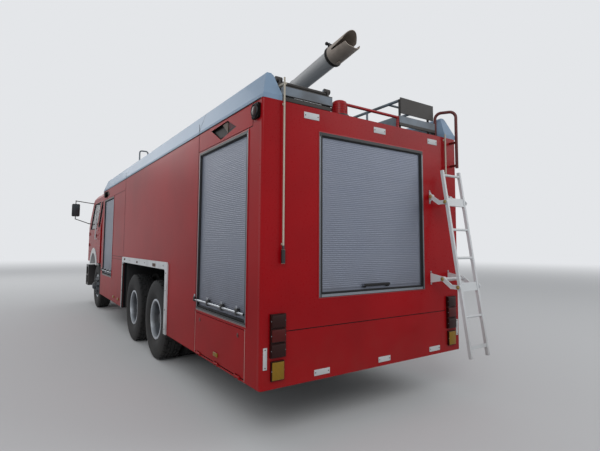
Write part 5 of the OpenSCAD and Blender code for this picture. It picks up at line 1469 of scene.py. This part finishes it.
def sew(mesh, groove):
    """Draws the cover in along the seams; groove gives how near a point is to one, from 0 to 1."""
    normals = [Vector(v.normal) for v in mesh.vertices]
    for vert, normal in zip(mesh.vertices, normals):
        vert.co -= normal * 0.007 * groove(vert.co, normal)


def near(distance):
    return math.exp(-(distance / 0.008) ** 2)


def cushion_seams(place, normal):
    """A seam round the sides and a sewn panel with four channels on top."""
    if normal.z < 0.2:
        return 0.5 * near(place.z - 1.70)
    across = abs(place.y - SEAT_Y)
    run = place.x - rear_x
    channels = max(near(run - s) for s in (9.06, 9.14, 9.22, 9.30)) if across < 0.135 else 0.0
    return max(near(across - 0.135), channels, near(run - 9.375) if across < 0.2 else 0.0)


def back_seams(place, normal):
    """A sewn panel with five channels on the front, under a seam across."""
    if normal.x < 0.2:
        return 0.0
    across = abs(place.y - SEAT_Y)
    channels = max(near(place.z - z) for z in (1.90, 1.98, 2.06, 2.14, 2.22)) if across < 0.125 else 0.0
    return max(near(across - 0.125) if place.z < 2.29 else 0.0, channels, near(place.z - 2.29))


for part, build, seams in (("cushion", cushion, cushion_seams), ("back", backrest, back_seams)):
    padding = even_mesh(build)
    swell(padding, 0.011)
    sew(padding, seams)
    padding.materials.clear()
    padding.materials.append(seat_cover)
    padding.shade_smooth()
    for word, shift in (("left", 0.0), ("right", -2 * SEAT_Y)):
        mesh = padding.copy()
        mesh.name = "seat_%s_%s" % (part, word)
        mesh.transform(Matrix.Translation((0, shift, 0)))
        pad = placed(mesh.name, mesh)
        finer = pad.modifiers.new("finer", "SUBSURF")
        finer.levels = 1
        finer.render_levels = 1
        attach(pad, "cab")
        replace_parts(pad, "seats")


# Camera, at the photograph's place

camera_data = bpy.data.cameras.new("camera")
camera_data.sensor_width = 36.0
camera_data.lens = 25.18
camera_data.shift_x = -0.0072
camera_data.shift_y = -0.0235
camera_data.clip_end = 1000
camera = placed("camera", camera_data)
scene.camera = camera
yaw, pitch, roll = math.radians(34.14), math.radians(4.54), math.radians(0.27)
heading = Vector((math.cos(yaw) * math.cos(pitch), -math.sin(yaw) * math.cos(pitch), math.sin(pitch)))
level = heading.to_track_quat("-Z", "Y").to_matrix()
camera.rotation_mode = "QUATERNION"
camera.rotation_quaternion = (level @ Matrix.Rotation(roll, 3, "Z")).to_quaternion()
camera.location = at(-2.957, half_w + 1.592, 1.593)


# Floor, light and world

BACKDROP = linear("#e4e6e9")


def seen(tree):
    """1 for the rays that show the backdrop: from the camera, off metal and through glass."""
    rays = tree.nodes.new("ShaderNodeLightPath")
    total = rays.outputs["Is Camera Ray"]
    for word in ("Is Glossy Ray", "Is Transmission Ray"):
        add = tree.nodes.new("ShaderNodeMath")
        add.operation = "ADD"
        add.use_clamp = True
        tree.links.new(total, add.inputs[0])
        tree.links.new(rays.outputs[word], add.inputs[1])
        total = add.outputs[0]
    return total


def show_backdrop(tree, amount, lit, kind, output):
    """Mixes a node of the given kind, in the backdrop's colour, over the lit one."""
    plain = tree.nodes.new(kind)
    plain.inputs["Color"].default_value = BACKDROP
    blend = tree.nodes.new("ShaderNodeMixShader")
    for socket, source in zip(blend.inputs, (amount, lit.outputs[0], plain.outputs[0])):
        tree.links.new(source, socket)
    tree.links.new(blend.outputs[0], tree.nodes[output].inputs["Surface"])


floor_mesh = bmesh.new()
bmesh.ops.create_grid(floor_mesh, x_segments=4, y_segments=4, size=150.0)
floor_data = bpy.data.meshes.new("floor")
floor_mesh.to_mesh(floor_data)
floor_mesh.free()
floor = placed("floor", floor_data)
ground = Finish("studio_floor")
ground.set(base_color="#c9cacb", roughness=0.9)
x, y = ground.along("X"), ground.along("Y")
fade = ground.rising((x * x + y * y).root(), 11.0, 42.0) * Value(ground, seen(ground.tree))
show_backdrop(ground.tree, fade.socket, ground.shader, "ShaderNodeEmission", "Material Output")
floor_data.materials.append(ground.material)


def lamp(name, place, target, power):
    """A round soft light that shines from one place towards another."""
    data = bpy.data.lights.new(name, "AREA")
    data.shape = "DISK"
    data.size = 9.0
    data.energy = power
    obj = placed(name, data)
    obj.location = place
    obj.rotation_mode = "QUATERNION"
    obj.rotation_quaternion = (Vector(target) - Vector(place)).to_track_quat("-Z", "Y")


lamp("key", (-14, 9, 11), (0, 0, 1.5), 780)
lamp("rear_fill", (-13, -10, 9), (-3, 0, 1.5), 380)
lamp("front_fill", (15, 4, 10), (3, 0, 1.5), 520)

world = bpy.data.worlds.new("studio")
scene.world = world
world.use_nodes = True
background = world.node_tree.nodes["Background"]
background.inputs["Color"].default_value = BACKDROP
background.inputs["Strength"].default_value = 0.62
show_backdrop(world.node_tree, seen(world.node_tree), background, "ShaderNodeBackground", "World Output")

scene.view_settings.view_transform = "Standard"
